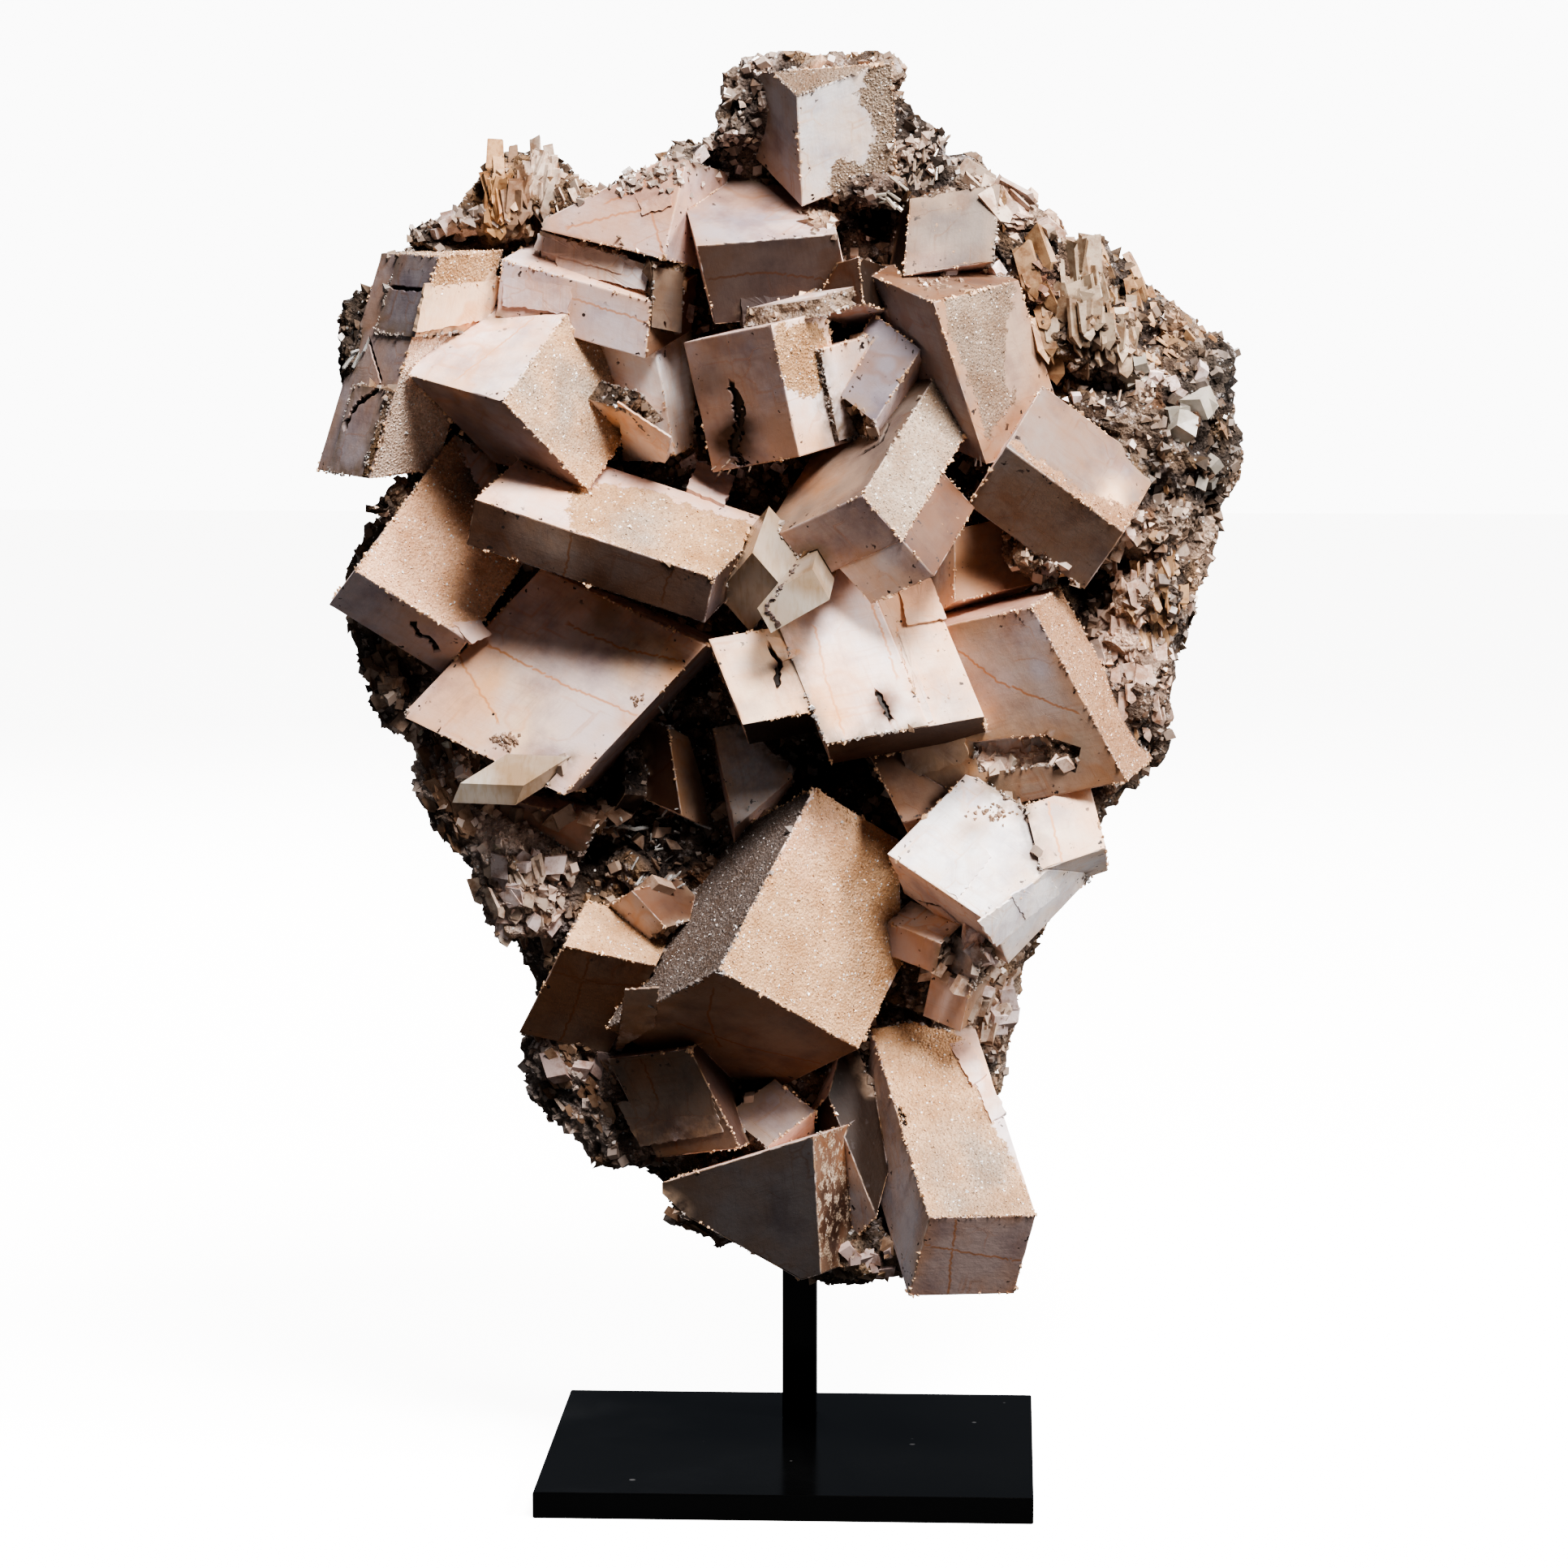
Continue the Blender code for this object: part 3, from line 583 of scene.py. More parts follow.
near_edge = edge_wear.copy()
for share in EDGE_FADE:
    near_edge = np.where((near_edge == 0) & (spread(near_edge) > 0), share, near_edge)
near_rock = on_rock.astype(float)
for _ in range(FADE_ROUNDS):
    near_rock = np.maximum(near_rock, spread(near_rock))


def mesh_of(name, points, faces):
    """A mesh of triangles from arrays."""
    made = bpy.data.meshes.new(name)
    made.vertices.add(len(points))
    made.vertices.foreach_set("co", np.asarray(points, np.float32).ravel())
    made.loops.add(len(faces) * 3)
    made.loops.foreach_set("vertex_index", np.asarray(faces, np.int32).ravel())
    made.polygons.add(len(faces))
    made.polygons.foreach_set("loop_start", np.arange(len(faces), dtype=np.int32) * 3)
    made.update(calc_edges=True)
    made.shade_flat()
    return made


def piece(name, made, carrier="root"):
    """Put a mesh in the scene as a piece of the specimen."""
    thing = bpy.data.objects.new(name, made)
    bpy.context.scene.collection.objects.link(thing)
    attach(thing, carrier)
    return thing


def painted(made, name, values, domain="POINT"):
    """Keep one value or one colour for each point, corner or face of a mesh."""
    values = np.asarray(values, np.float32)
    if values.ndim == 1:
        made.attributes.new(name, "FLOAT", domain).data.foreach_set("value", values)
        return
    layer = made.attributes.new(name, "FLOAT_COLOR", domain)
    layer.data.foreach_set("color", np.column_stack([values, np.ones(len(values), np.float32)]).ravel())


mesh = mesh_of("dolomite", places, triangles)
mesh.polygons.foreach_set("material_index", (~crystal_triangle).astype(np.int32))
mesh.polygons.foreach_set("use_smooth", crystal_triangle & edge_wear[triangles].any(axis=1))
ends = np.empty(len(mesh.edges) * 2, np.int32)
mesh.edges.foreach_get("vertices", ends)
side_groups = {}
for number, corners in zip(triangle_group[crystal_triangle].tolist(), triangles[crystal_triangle].tolist()):
    for near, far in SIDES:
        pair = (min(corners[near], corners[far]), max(corners[near], corners[far]))
        side_groups.setdefault(pair, []).append(number)
sharp = np.zeros(len(mesh.edges), bool)
for i, pair in enumerate(np.sort(ends.reshape(-1, 2), axis=1).tolist()):
    touching = side_groups.get(tuple(pair), ())
    sharp[i] = len(touching) == 1 or (len(touching) == 2 and touching[0] != touching[1])
mesh.attributes.new("sharp_edge", "BOOLEAN", "EDGE").data.foreach_set("value", sharp)
cluster = piece("dolomite", mesh)
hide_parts("dolomite_cluster")
cluster_tree = BVHTree.FromPolygons(places.tolist(), triangles.tolist(), all_triangles=True)

# The bare colour of each crystal face, PINK_WHITE where none is given, and blots on it: face,
# place and reach on the sheet. Many face colours are painted light and shade: the near-black and
# darkest brown and grey ones stand in for shade on undersides and in hollows, and the brightest
# white, the lilac white and other light ones lift faces that lie in shade here. Most blots are
# stains, and a few are painted shade.
# Painted light: this brightest white lifts faces that lie in shade here
PAINTED_LIGHT_WHITE = (0.94, 0.88, 0.86)
WHITE = (0.88, 0.76, 0.73)
PINK_WHITE = (0.78, 0.64, 0.60)
DULL_PINK = (0.69, 0.55, 0.51)
CREAM = (0.84, 0.66, 0.54)
PEACH = (0.80, 0.57, 0.40)
LILAC_WHITE = (0.74, 0.70, 0.73)
LILAC = (0.60, 0.50, 0.50)
DULL_LILAC = (0.46, 0.44, 0.46)
MAUVE = (0.55, 0.41, 0.37)
LILAC_GREY = (0.40, 0.34, 0.345)
SLATE = (0.33, 0.31, 0.33)
DUSK = (0.27, 0.235, 0.25)
TAUPE = (0.22, 0.17, 0.14)
DARK_GREY = (0.17, 0.14, 0.14)
BROWN_GREY = (0.40, 0.28, 0.21)
BROWN = (0.26, 0.16, 0.11)
UMBER = (0.17, 0.10, 0.07)
# Painted shade: this deep brown darkens a face that turns down and away from the lamps
PAINTED_SHADE_BROWN = (0.064, 0.043, 0.036)
TAUPE_GREY = (0.275, 0.21, 0.18)
DIM_BROWN = (0.135, 0.092, 0.077)
SHADE = (0.12, 0.083, 0.072)
DARK_BROWN = (0.08, 0.045, 0.032)
# Painted shade: these two darkest stand in for shade on undersides and in hollows
PAINTED_SHADE_GREY = (0.060, 0.050, 0.048)
PAINTED_SHADE_BLACK = (0.035, 0.022, 0.016)
VEIN_ORANGE = (0.86, 0.52, 0.30)
BARE = (
    (PAINTED_LIGHT_WHITE, "bright_main bright_right top_right big_tan_side beside_tall step_top step_middle "
             "split_side ledge_deep hollow_right bite small_right_under"),
    (WHITE, "big_tan_top stepped_main split_back foot_block_front great_right split_right stepped_top"),
    (DULL_PINK, "plate_main"),
    (CREAM, "stepped_rise small_right"),
    (PEACH, "wing shoulder_right"),
    (LILAC_WHITE, "foot_block_left small_mid_left ledge_top low_centre_back"),
    (LILAC, "shoulder_side foot_left ledge_front upper_left_strip split_left left_tan_under"),
    (MAUVE, "right_plate_top hollow_low step_left upper_left_front foot_block_under tall_under"),
    (DULL_LILAC, "top_left"),
    (LILAC_GREY, "upper_centre_top right_long_left shoulder_left plate_edge"),
    (SLATE, "pale_hollow"),
    (DUSK, "behind_split big_tan_under"),
    (BROWN_GREY, "right_plate_front great_left behind_plate right_long_front "
                 "hollow_edge step_low_right"),
    (TAUPE, "upper_right tall_left ledge_end low_left_front"),
    (DARK_GREY, "slab_end"),
    (BROWN, "left_low_front low_centre_right under_bright ledge_hollow great_under right_long_top"),
    (UMBER, "small_mid_right tall_back"),
    (SHADE, "low_left_edge"),
    (DIM_BROWN, "slab_front"),
    (TAUPE_GREY, "right_big_under right_big_top"),
    (DARK_BROWN, "stepped_under behind_centre hollow_middle"),
    (PAINTED_SHADE_GREY, "low_centre_front"),
    (PAINTED_SHADE_BROWN, "upper_centre_front"),
    (PAINTED_SHADE_BLACK, "foot_neighbour wing_under hollow_left under_top behind_pale behind_long hollow_small"),
)
STAIN_AND_SHADE_BLOTS = (
    ("plate_main", (620, 880), 60, PEACH), ("plate_main", (800, 800), 50, PEACH),
    ("stepped_main", (1010, 880), 40, PEACH), ("stepped_main", (1180, 860), 50, PEACH),
    ("bright_main", (1200, 1010), 22, BROWN_GREY), ("bright_main", (1215, 975), 16, BROWN),
    ("upper_right", (1140, 320), 30, BROWN_GREY),
    ("split_left", (905, 540), 30, DARK_BROWN), ("split_left", (870, 470), 30, LILAC_GREY),
    ("upper_centre_top", (960, 270), 40, MAUVE), ("big_tan_side", (760, 520), 30, PEACH),
    ("great_under", (800, 1240), 40, BROWN_GREY), ("tall_left", (1010, 620), 60, BROWN_GREY),
    # slab_front is made lighter at its upper left and darker along its bottom
    ("slab_front", (672, 652), 44, TAUPE_GREY), ("slab_front", (745, 735), 34, DARK_BROWN),
    ("wing", (957, 822), 10, DARK_BROWN),
    # Painted shadow: the plate_main blot at (760, 740) is the slab's shadow
    ("stepped_main", (1088, 868), 20, UMBER), ("plate_main", (760, 740), 60, BROWN_GREY),
    ("big_tan_under", (560, 480), 24, MAUVE),
    ("low_left_front", (800, 1400), 30, BROWN), ("split_right", (1000, 545), 20, PEACH),
    ("right_plate_front", (1290, 800), 60, LILAC_GREY), ("right_plate_front", (1190, 930), 50, PEACH),
    ("right_big_top", (1385, 570), 24, DUSK), ("right_big_top", (1372, 622), 30, PEACH),
    ("low_left_front", (790, 1316), 26, BROWN), ("wing", (900, 800), 30, WHITE),
    ("low_centre_right", (1035, 1500), 50, DARK_BROWN),
)
# Where fine sugary dolomite crust covers a face: all of it at 1, broken patches near 0, or
# within an outline on the sheet
CRUSTED = {
    "top_cap": 1.0, "shoulder_strip": 1.0, "big_tan_front": 1.0, "tall_right": 1.0,
    "right_plate_rim": 1.0, "left_low_top": 1.0, "great_left": 1.0, "foot_right": 1.0,
    "low_centre_right": -0.1, "tall_back": -0.7, "bright_main": -0.75, "stepped_rise": -0.5,
    "wing": -0.75, "plate_main": -0.85, "upper_right": -0.6, "shoulder_side": -0.7,
    "top_right": ((1076, 70), (1058, 118), (1080, 160), (1068, 205), (1030, 196), (1018, 236),
                  (1060, 250), (1120, 250), (1120, 70)),
    "shoulder_right": ((520, 295), (625, 295), (612, 330), (566, 372), (500, 418)),
    "slab_top": ((700, 606), (746, 597), (800, 602), (850, 626), (905, 640), (948, 655), (925, 692),
                 (880, 715), (816, 694), (757, 672), (704, 652)),
    "left_tan_main": ((555, 535), (645, 700), (604, 768), (560, 772), (530, 766), (425, 708)),
    "right_long_front": ((1160, 345), (1253, 340), (1240, 402), (1236, 466), (1252, 494), (1216, 540),
                         (1200, 486), (1168, 404)),
    "split_right": ((957, 402), (1012, 396), (1028, 452), (1002, 492), (963, 474), (947, 436)),
    "right_big_top": ((1225, 530), (1296, 594), (1358, 645), (1404, 664), (1424, 604), (1392, 624),
                      (1332, 604), (1270, 556)),
    "great_right": ((1012, 960), (1122, 1050), (1107, 1108), (1122, 1180), (1096, 1216), (1068, 1300),
                    (880, 1196)),
    "foot_block_front": ((1060, 1235), (1150, 1235), (1190, 1288), (1214, 1366), (1252, 1436),
                         (1285, 1505), (1135, 1505), (1095, 1400)),
}
CRUST = (0.68, 0.44, 0.27)
CRUST_ORANGE = (0.58, 0.37, 0.22)
CRUST_WARM = (0.80, 0.51, 0.34)
CRUST_GREY = (0.47, 0.37, 0.29)
CRUST_TAN = (0.45, 0.27, 0.17)
CRUST_BROWN = (0.30, 0.22, 0.165)
CRUST_DUSK = (0.25, 0.20, 0.175)
# Painted light and shade: the dusk crust on great_left partly stands in for shade on a face turned from the
# lamps, and the cream on foot_right lifts a face that lies in shade here
CRUST_COLOURS = (
    (CRUST_WARM, "left_tan_main"), (CRUST_ORANGE, "slab_top split_right shoulder_right"),
    (CREAM, "foot_right"), (CRUST_GREY, "tall_right low_centre_right top_right"),
    (CRUST_TAN, "right_plate_rim right_big_top"), (CRUST_BROWN, "top_cap right_long_front"),
    (CRUST_DUSK, "great_left"),
)
CRUST_STAIN_AND_SHADE_BLOTS = (
    ("big_tan_front", (705, 480), 75, CRUST_GREY), ("foot_block_front", (1200, 1445), 60, CRUST_GREY),
    ("great_right", (980, 1020), 60, CRUST_WARM), ("slab_top", (790, 650), 36, CRUST_GREY),
    # Painted shade: the left_tan_main blot at (600, 590)
    ("left_tan_main", (600, 590), 40, CRUST_BROWN), ("shoulder_strip", (470, 300), 60, CRUST_GREY),
    ("right_long_front", (1180, 380), 40, CRUST_GREY),
)
CRUST_BLUR = 12.0
PATCH_SCALE = 90.0
PATCH_PULL = 1.4


def nearness(points, centre, reach):
    """How near points of the sheet are to a place on it: 1 there, and fading over its reach."""
    return np.exp(-np.sum((points - centre) ** 2, axis=1) / reach ** 2)[:, None]


def depth_inside(points, outline):
    """How far points lie inside a closed outline on the sheet, negative outside it."""
    nearest = np.full(len(points), np.inf)
    inside = np.zeros(len(points), bool)
    for start, end in zip(outline, outline[1:] + outline[:1]):
        start, side = np.array(start, float), np.subtract(end, start).astype(float)
        share = np.clip((points - start) @ side / (side @ side), 0.0, 1.0)
        nearest = np.minimum(nearest, np.linalg.norm(points - start - share[:, None] * side, axis=1))
        crossed = (points[:, 1] < start[1]) != (points[:, 1] < start[1] + side[1])
        reach = start[0] + (points[:, 1] - start[1]) * side[0] / (side[1] or 1.0)
        inside ^= crossed & (points[:, 0] < reach)
    return np.where(inside, nearest, -nearest)


corner_place = triangles.ravel()
corner_group = np.repeat(triangle_group, 3)
corner_sheet = on_sheet(places)[corner_place]
corner_patch = np.array([noise.noise(Vector(place) * PATCH_SCALE) for place in places])[corner_place]
bare_tint = np.tile(PINK_WHITE, (len(corner_place), 1))
crust_tint = np.tile(CRUST, (len(corner_place), 1))
for layer, colours, stain_and_shade_blots in ((bare_tint, BARE, STAIN_AND_SHADE_BLOTS), (crust_tint, CRUST_COLOURS, CRUST_STAIN_AND_SHADE_BLOTS)):
    for colour, names in colours:
        for name in names.split():
            layer[corner_group == group_named[name]] = colour
    for name, centre, reach, colour in stain_and_shade_blots:
        mine = corner_group == group_named[name]
        share = nearness(corner_sheet[mine], centre, reach) * (1.0 + PATCH_PULL * corner_patch[mine, None])
        share = np.clip(share, 0.0, 1.0)
        layer[mine] += (np.array(colour) - layer[mine]) * share
crusted = np.full(len(corner_place), -1.0)
for name, outline in CRUSTED.items():
    mine = corner_group == group_named[name]
    if isinstance(outline, tuple):
        crusted[mine] = np.clip(depth_inside(corner_sheet[mine], outline) / CRUST_BLUR, -1.0, 1.0)
    else:
        crusted[mine] = outline

# The rock's colour, by place and reach on the sheet, and one plain brown wherever none of
# these reaches. Noise lightens, darkens and rusts it.
ROCK_BROWN = (0.30, 0.21, 0.15)
ROCK_TINTS = (
    ((632, 245), 60, (0.46, 0.28, 0.16)), ((520, 280), 60, (0.36, 0.28, 0.23)),
    ((435, 415), 60, (0.36, 0.25, 0.18)), ((960, 90), 70, (0.42, 0.33, 0.28)),
    ((1120, 190), 60, (0.17, 0.115, 0.09)), ((1345, 380), 90, (0.34, 0.22, 0.145)),
    ((1260, 230), 60, (0.72, 0.52, 0.40)), ((1510, 490), 60, (0.06, 0.05, 0.042)),
    ((1365, 305), 24, (0.05, 0.045, 0.04)), ((1460, 560), 60, (0.33, 0.23, 0.17)),
    ((1420, 700), 80, (0.66, 0.48, 0.37)), ((1400, 820), 80, (0.56, 0.39, 0.30)),
    # Painted shade: the dark red-brown at (845, 400) lies over an open hollow
    ((1275, 350), 26, (0.26, 0.06, 0.03)), ((845, 400), 26, (0.12, 0.03, 0.02)),
    ((850, 960), 130, (0.24, 0.16, 0.12)), ((640, 1110), 70, (0.90, 0.70, 0.60)),
    ((545, 950), 80, (0.92, 0.74, 0.64)), ((700, 1340), 90, (0.60, 0.48, 0.42)),
    ((870, 1490), 80, (0.34, 0.25, 0.20)), ((1240, 1240), 70, (0.52, 0.40, 0.32)),
    # Painted shade: the dark brown at (1100, 260) lies over an open hollow
    ((1100, 260), 40, (0.12, 0.07, 0.06)), ((830, 210), 60, (0.34, 0.26, 0.21)),
)
ROCK_BASE = 0.35
BACK_FADE = 0.02
SHADE_SCALE = 34.0
SHADE_PULL = 1.3
SHADE_RANGE = (0.35, 1.7)
OCHRE = (0.52, 0.30, 0.14)
OCHRE_SCALE = 55.0
OCHRE_START = Vector((4.0, 1.0, 7.0))
OCHRE_FROM = 0.12
OCHRE_STEEP = 2.5
OCHRE_MOST = 0.7
OCHRE_LEAST_LIGHT = 0.3
place_sheet = on_sheet(places)
in_front = np.clip((FRONT_TO + BACK_FADE - places[:, 1]) / BACK_FADE, 0.0, 1.0)[:, None]
rock_tint = np.tile(ROCK_BROWN, (len(places), 1)) * ROCK_BASE
total = np.full((len(places), 1), ROCK_BASE)
for centre, reach, colour in ROCK_TINTS:
    share = nearness(place_sheet, centre, reach) * in_front
    rock_tint += np.array(colour) * share
    total += share
rock_tint /= total
for i in np.nonzero(on_rock)[0]:
    where = Vector(places[i])
    light = 1.0 + SHADE_PULL * noise.fractal(where * SHADE_SCALE, *FRACTAL, 3)
    rock_tint[i] *= min(max(light, SHADE_RANGE[0]), SHADE_RANGE[1])
    rusty = OCHRE_STEEP * (noise.noise(where * OCHRE_SCALE + OCHRE_START) - OCHRE_FROM)
    rusty = min(max(rusty, 0.0), OCHRE_MOST)
    ochre = np.array(OCHRE) * (OCHRE_LEAST_LIGHT + rock_tint[i].mean())
    rock_tint[i] += (ochre - rock_tint[i]) * rusty

# What the materials read from the mesh. Each face has a grain of its own, moved on from face
# to face. Rock gets painted shade where it is sunk, in full at this depth and in the open hollows.
GRAIN_SHIFT = 0.37
PIT_SHADE_FULL_AT = 3 * MM
for name, values in (("bare_tint", bare_tint), ("crust_tint", crust_tint), ("crusted", crusted)):
    painted(mesh, name, values, "CORNER")
painted(mesh, "pit", np.clip(np.maximum(-lift / PIT_SHADE_FULL_AT, hollow), 0.0, 1.0))
axes = np.array([[tuple(axis) for axis in pair] for pair in cleavage_axes])[corner_group]
split = np.einsum("nij,nj->ni", axes, places[corner_place])
painted(mesh, "cleavage", np.column_stack([split, corner_group * GRAIN_SHIFT]), "CORNER")
for name, values in (("rock_tint", rock_tint), ("edge_wear", edge_wear), ("near_rock", near_rock),
                     ("near_edge", near_edge), ("vein", vein), ("crack", crack)):
    painted(mesh, name, values)


def rgba(colour):
    """A colour as a shader takes it, with its fourth number."""
    return (*colour, 1.0)


def joined(tree, made, inputs):
    """Each input of a node given a value, or joined to another node's output."""
    for key, value in inputs.items():
        if isinstance(value, bpy.types.NodeSocket):
            tree.links.new(value, made.inputs[key])
        else:
            made.inputs[key].default_value = value


def node(tree, kind, inputs, **settings):
    """A shader node with its settings and its inputs."""
    made = tree.nodes.new("ShaderNode" + kind)
    for key, value in settings.items():
        setattr(made, key, value)
    joined(tree, made, inputs)
    return made


def effect(tree, group, **given):
    """A shared effect placed in a material: what it puts out."""
    return node(tree, "Group", given, node_tree=group).outputs


def mixed(tree, share, first, second, how="MIX"):
    """The colour that lies between two colours, each of them an output or three numbers."""
    first, second = (rgba(colour) if isinstance(colour, tuple) else colour for colour in (first, second))
    return node(tree, "Mix", {0: share, 6: first, 7: second}, data_type="RGBA", blend_type=how).outputs[2]


def dyed(tree, colour, dye):
    """A colour multiplied by another one."""
    return mixed(tree, 1.0, colour, dye, "MULTIPLY")


def reckon(tree, how, first, second=0.0):
    """A sum done on one or two values."""
    return node(tree, "Math", {0: first, 1: second}, operation=how).outputs[0]


def times(tree, first, second):
    """Two values multiplied."""
    return reckon(tree, "MULTIPLY", first, second)


def vector_sum(tree, how, first, second):
    """A sum done on two vectors."""
    return node(tree, "VectorMath", {0: first, 1: second}, operation=how).outputs[0]


def eased(tree, value, low, high, to_low=0.0, to_high=1.0):
    """A value brought from one range to another and held there."""
    return node(tree, "MapRange", {0: value, 1: low, 2: high, 3: to_low, 4: to_high}).outputs[0]


def attribute(tree, name, output="Fac"):
    """What was painted on the mesh under a name."""
    return node(tree, "Attribute", {}, attribute_name=name).outputs[output]


def cloud(tree, where, scale, detail=3.0, rough=0.6):
    """Soft noise, about 0.5 in the mean."""
    return node(tree, "TexNoise", {"Vector": where, "Scale": scale, "Detail": detail,
                                   "Roughness": rough}).outputs["Fac"]


def patches(tree, where, scale, low, high, detail=3.0, rough=0.6, least=0.0, most=1.0):
    """A mask of patches: where soft noise rises from a low value to a high one."""
    return eased(tree, cloud(tree, where, scale, detail, rough), low, high, least, most)


def bumped(tree, strength, depth, height):
    """A normal roughened by a height."""
    return node(tree, "Bump", {"Strength": strength, "Distance": depth, "Height": height}).outputs["Normal"]


def object_place(tree):
    """The place on the object, in metres."""
    return node(tree, "TexCoord", {}).outputs["Object"]


def scattered(tree, scale, share):
    """Cells all over the object: distance from each one's middle, a number of its own, and 1 in
    the given share of them."""
    cells = node(tree, "TexVoronoi", {"Vector": object_place(tree), "Scale": scale}).outputs
    chance = node(tree, "SeparateColor", {"Color": cells["Color"]}).outputs
    return cells["Distance"], chance[1], reckon(tree, "LESS_THAN", chance[0], share)


def new_group(name, inputs, outputs):
    """A shared effect: its tree, the values it is given and the node for what it puts out."""
    tree = bpy.data.node_groups.new(name, "ShaderNodeTree")
    for socket, value in inputs.items():
        made = tree.interface.new_socket(name=socket, in_out="INPUT", socket_type="NodeSocketFloat")
        made.default_value = value
    for socket in outputs:
        tree.interface.new_socket(name=socket, in_out="OUTPUT", socket_type="NodeSocketFloat")
    return tree, tree.nodes.new("NodeGroupInput").outputs, tree.nodes.new("NodeGroupOutput")


def new_look(name):
    """A material with its node tree and its Principled shader."""
    look = bpy.data.materials.new(name)
    look.use_nodes = True
    return look, look.node_tree, look.node_tree.nodes["Principled BSDF"]


# Fine sugary crystals: a height for each grain and a bright glint on a few of them
tree, given, end = new_group("sugar", {"Scale": 1100.0, "Glints": 0.1}, ("Glint", "Height", "Shade"))
distance, shade, lucky = scattered(tree, given["Scale"], given["Glints"])
joined(tree, end, {"Glint": times(tree, lucky, eased(tree, distance, 0.5, 0.3)),
                   "Height": eased(tree, distance, 0.0, 0.8, 1.0, 0.0), "Shade": shade})
sugar_group = tree

# Dark specks of metal oxide, few and small
SPECK_REACH = 0.12
tree, given, end = new_group("specks", {"Scale": 150.0, "Amount": 0.07}, ("Mask",))
distance, size, lucky = scattered(tree, given["Scale"], given["Amount"])
near = reckon(tree, "LESS_THAN", distance, times(tree, size, SPECK_REACH))
joined(tree, end, {"Mask": times(tree, lucky, near)})
speck_group = tree

# Cleavage: broken steps and fine streaks that run along a face's two cleavage lines. Step is
# the height of each plateau, Line is 1 on some of the plateaus' borders.
SWAY = (0.002, 0.002, 0.0)
ALONG = (900.0, 26.0, 1.0)
ATHWART = (26.0, 900.0, 1.0)
tree, given, end = new_group("cleavage", {"Scale": 60.0}, ("Step", "Line", "Streak"))
where = object_place(tree)
sway = node(tree, "TexNoise", {"Vector": where, "Scale": 160.0, "Detail": 3.0}).outputs["Color"]
sway = vector_sum(tree, "MULTIPLY", sway, SWAY)
split = vector_sum(tree, "ADD", attribute(tree, "cleavage", "Vector"), sway)
plateaus, beyond = (node(tree, "TexVoronoi", {"Vector": split, "Scale": given["Scale"], "Randomness": 0.95},
                         distance="CHEBYCHEV", feature=feature).outputs for feature in ("F1", "F2"))
border = reckon(tree, "SUBTRACT", beyond["Distance"], plateaus["Distance"])
line = times(tree, eased(tree, border, 0.012, 0.045, 1.0, 0.0), patches(tree, where, 26.0, 0.50, 0.56, 2.0))
streaks = [cloud(tree, vector_sum(tree, "MULTIPLY", split, stretch), 1.0) for stretch in (ALONG, ATHWART)]
joined(tree, end, {"Step": node(tree, "SeparateColor", {"Color": plateaus["Color"]}).outputs[0],
                   "Line": line, "Streak": reckon(tree, "MAXIMUM", *streaks)})
cleavage_group = tree

# The crystal faces: clouded, streaked and stained dolomite, then veins, pits, specks and the
# crust where the face is crusted, and last the worn edges and the open cracks
WARM = (1.0, 0.80, 0.64)
COOL = (0.68, 0.65, 0.69)
STREAKED = (0.84, 0.77, 0.73)
EDGE_STAIN = (1.0, 0.74, 0.52)
CRUST_DEPTH = (0.70, 0.60, 0.52)
GLINT = (0.95, 0.93, 0.90)
SPECK = (0.05, 0.035, 0.03)
CRACK_DARK = (0.035, 0.022, 0.016)

faces_look, tree, shader = new_look("dolomite_faces")
where = object_place(tree)
tint = attribute(tree, "bare_tint", "Color")
warm = patches(tree, where, 17.0, 0.46, 0.62, 6.0, 0.65)
colour = mixed(tree, warm, tint, dyed(tree, tint, WARM))
cool = patches(tree, where, 42.0, 0.48, 0.66, 6.0)
colour = mixed(tree, cool, colour, dyed(tree, colour, COOL))
split = effect(tree, cleavage_group)
streaky = times(tree, eased(tree, split["Streak"], 0.48, 0.66),
                patches(tree, where, 38.0, 0.42, 0.62, 2.0, 0.6, 0.05, 0.5))
colour = mixed(tree, streaky, colour, dyed(tree, colour, STREAKED))
contour = reckon(tree, "ABSOLUTE", reckon(tree, "SUBTRACT", cloud(tree, where, 13.0, 4.0, 0.5), 0.5))
thin = times(tree, eased(tree, contour, 0.002, 0.014, 1.0, 0.0), patches(tree, where, 8.0, 0.48, 0.60, 1.0))
natural = reckon(tree, "MAXIMUM", times(tree, thin, 0.5), times(tree, split["Line"], 0.35))
drawn = eased(tree, attribute(tree, "vein"), 0.12, 0.7, 0.0, 0.85)
colour = mixed(tree, reckon(tree, "MAXIMUM", natural, drawn), colour, dyed(tree, tint, VEIN_ORANGE))
by_edge = attribute(tree, "near_edge")
stained = times(tree, by_edge, patches(tree, where, 46.0, 0.42, 0.62, 5.0))
colour = mixed(tree, stained, colour, dyed(tree, tint, EDGE_STAIN))
pitted = times(tree, eased(tree, by_edge, 0.2, 0.6), patches(tree, where, 330.0, 0.665, 0.70, 2.0))
colour = mixed(tree, pitted, colour, SPECK)
colour = mixed(tree, effect(tree, speck_group)["Mask"], colour, SPECK)
dirty = times(tree, eased(tree, attribute(tree, "near_rock"), 0.2, 1.0),
              patches(tree, where, 120.0, 0.35, 0.60, 4.0))
colour = mixed(tree, dirty, colour, ROCK_BROWN)
sugar = effect(tree, sugar_group, Scale=1000.0, Glints=0.03)
ragged = times(tree, reckon(tree, "SUBTRACT", cloud(tree, where, 240.0, 5.0, 0.7), 0.5), 3.4)
crust = eased(tree, reckon(tree, "ADD", attribute(tree, "crusted"), ragged), -0.10, 0.10)
tint = attribute(tree, "crust_tint", "Color")
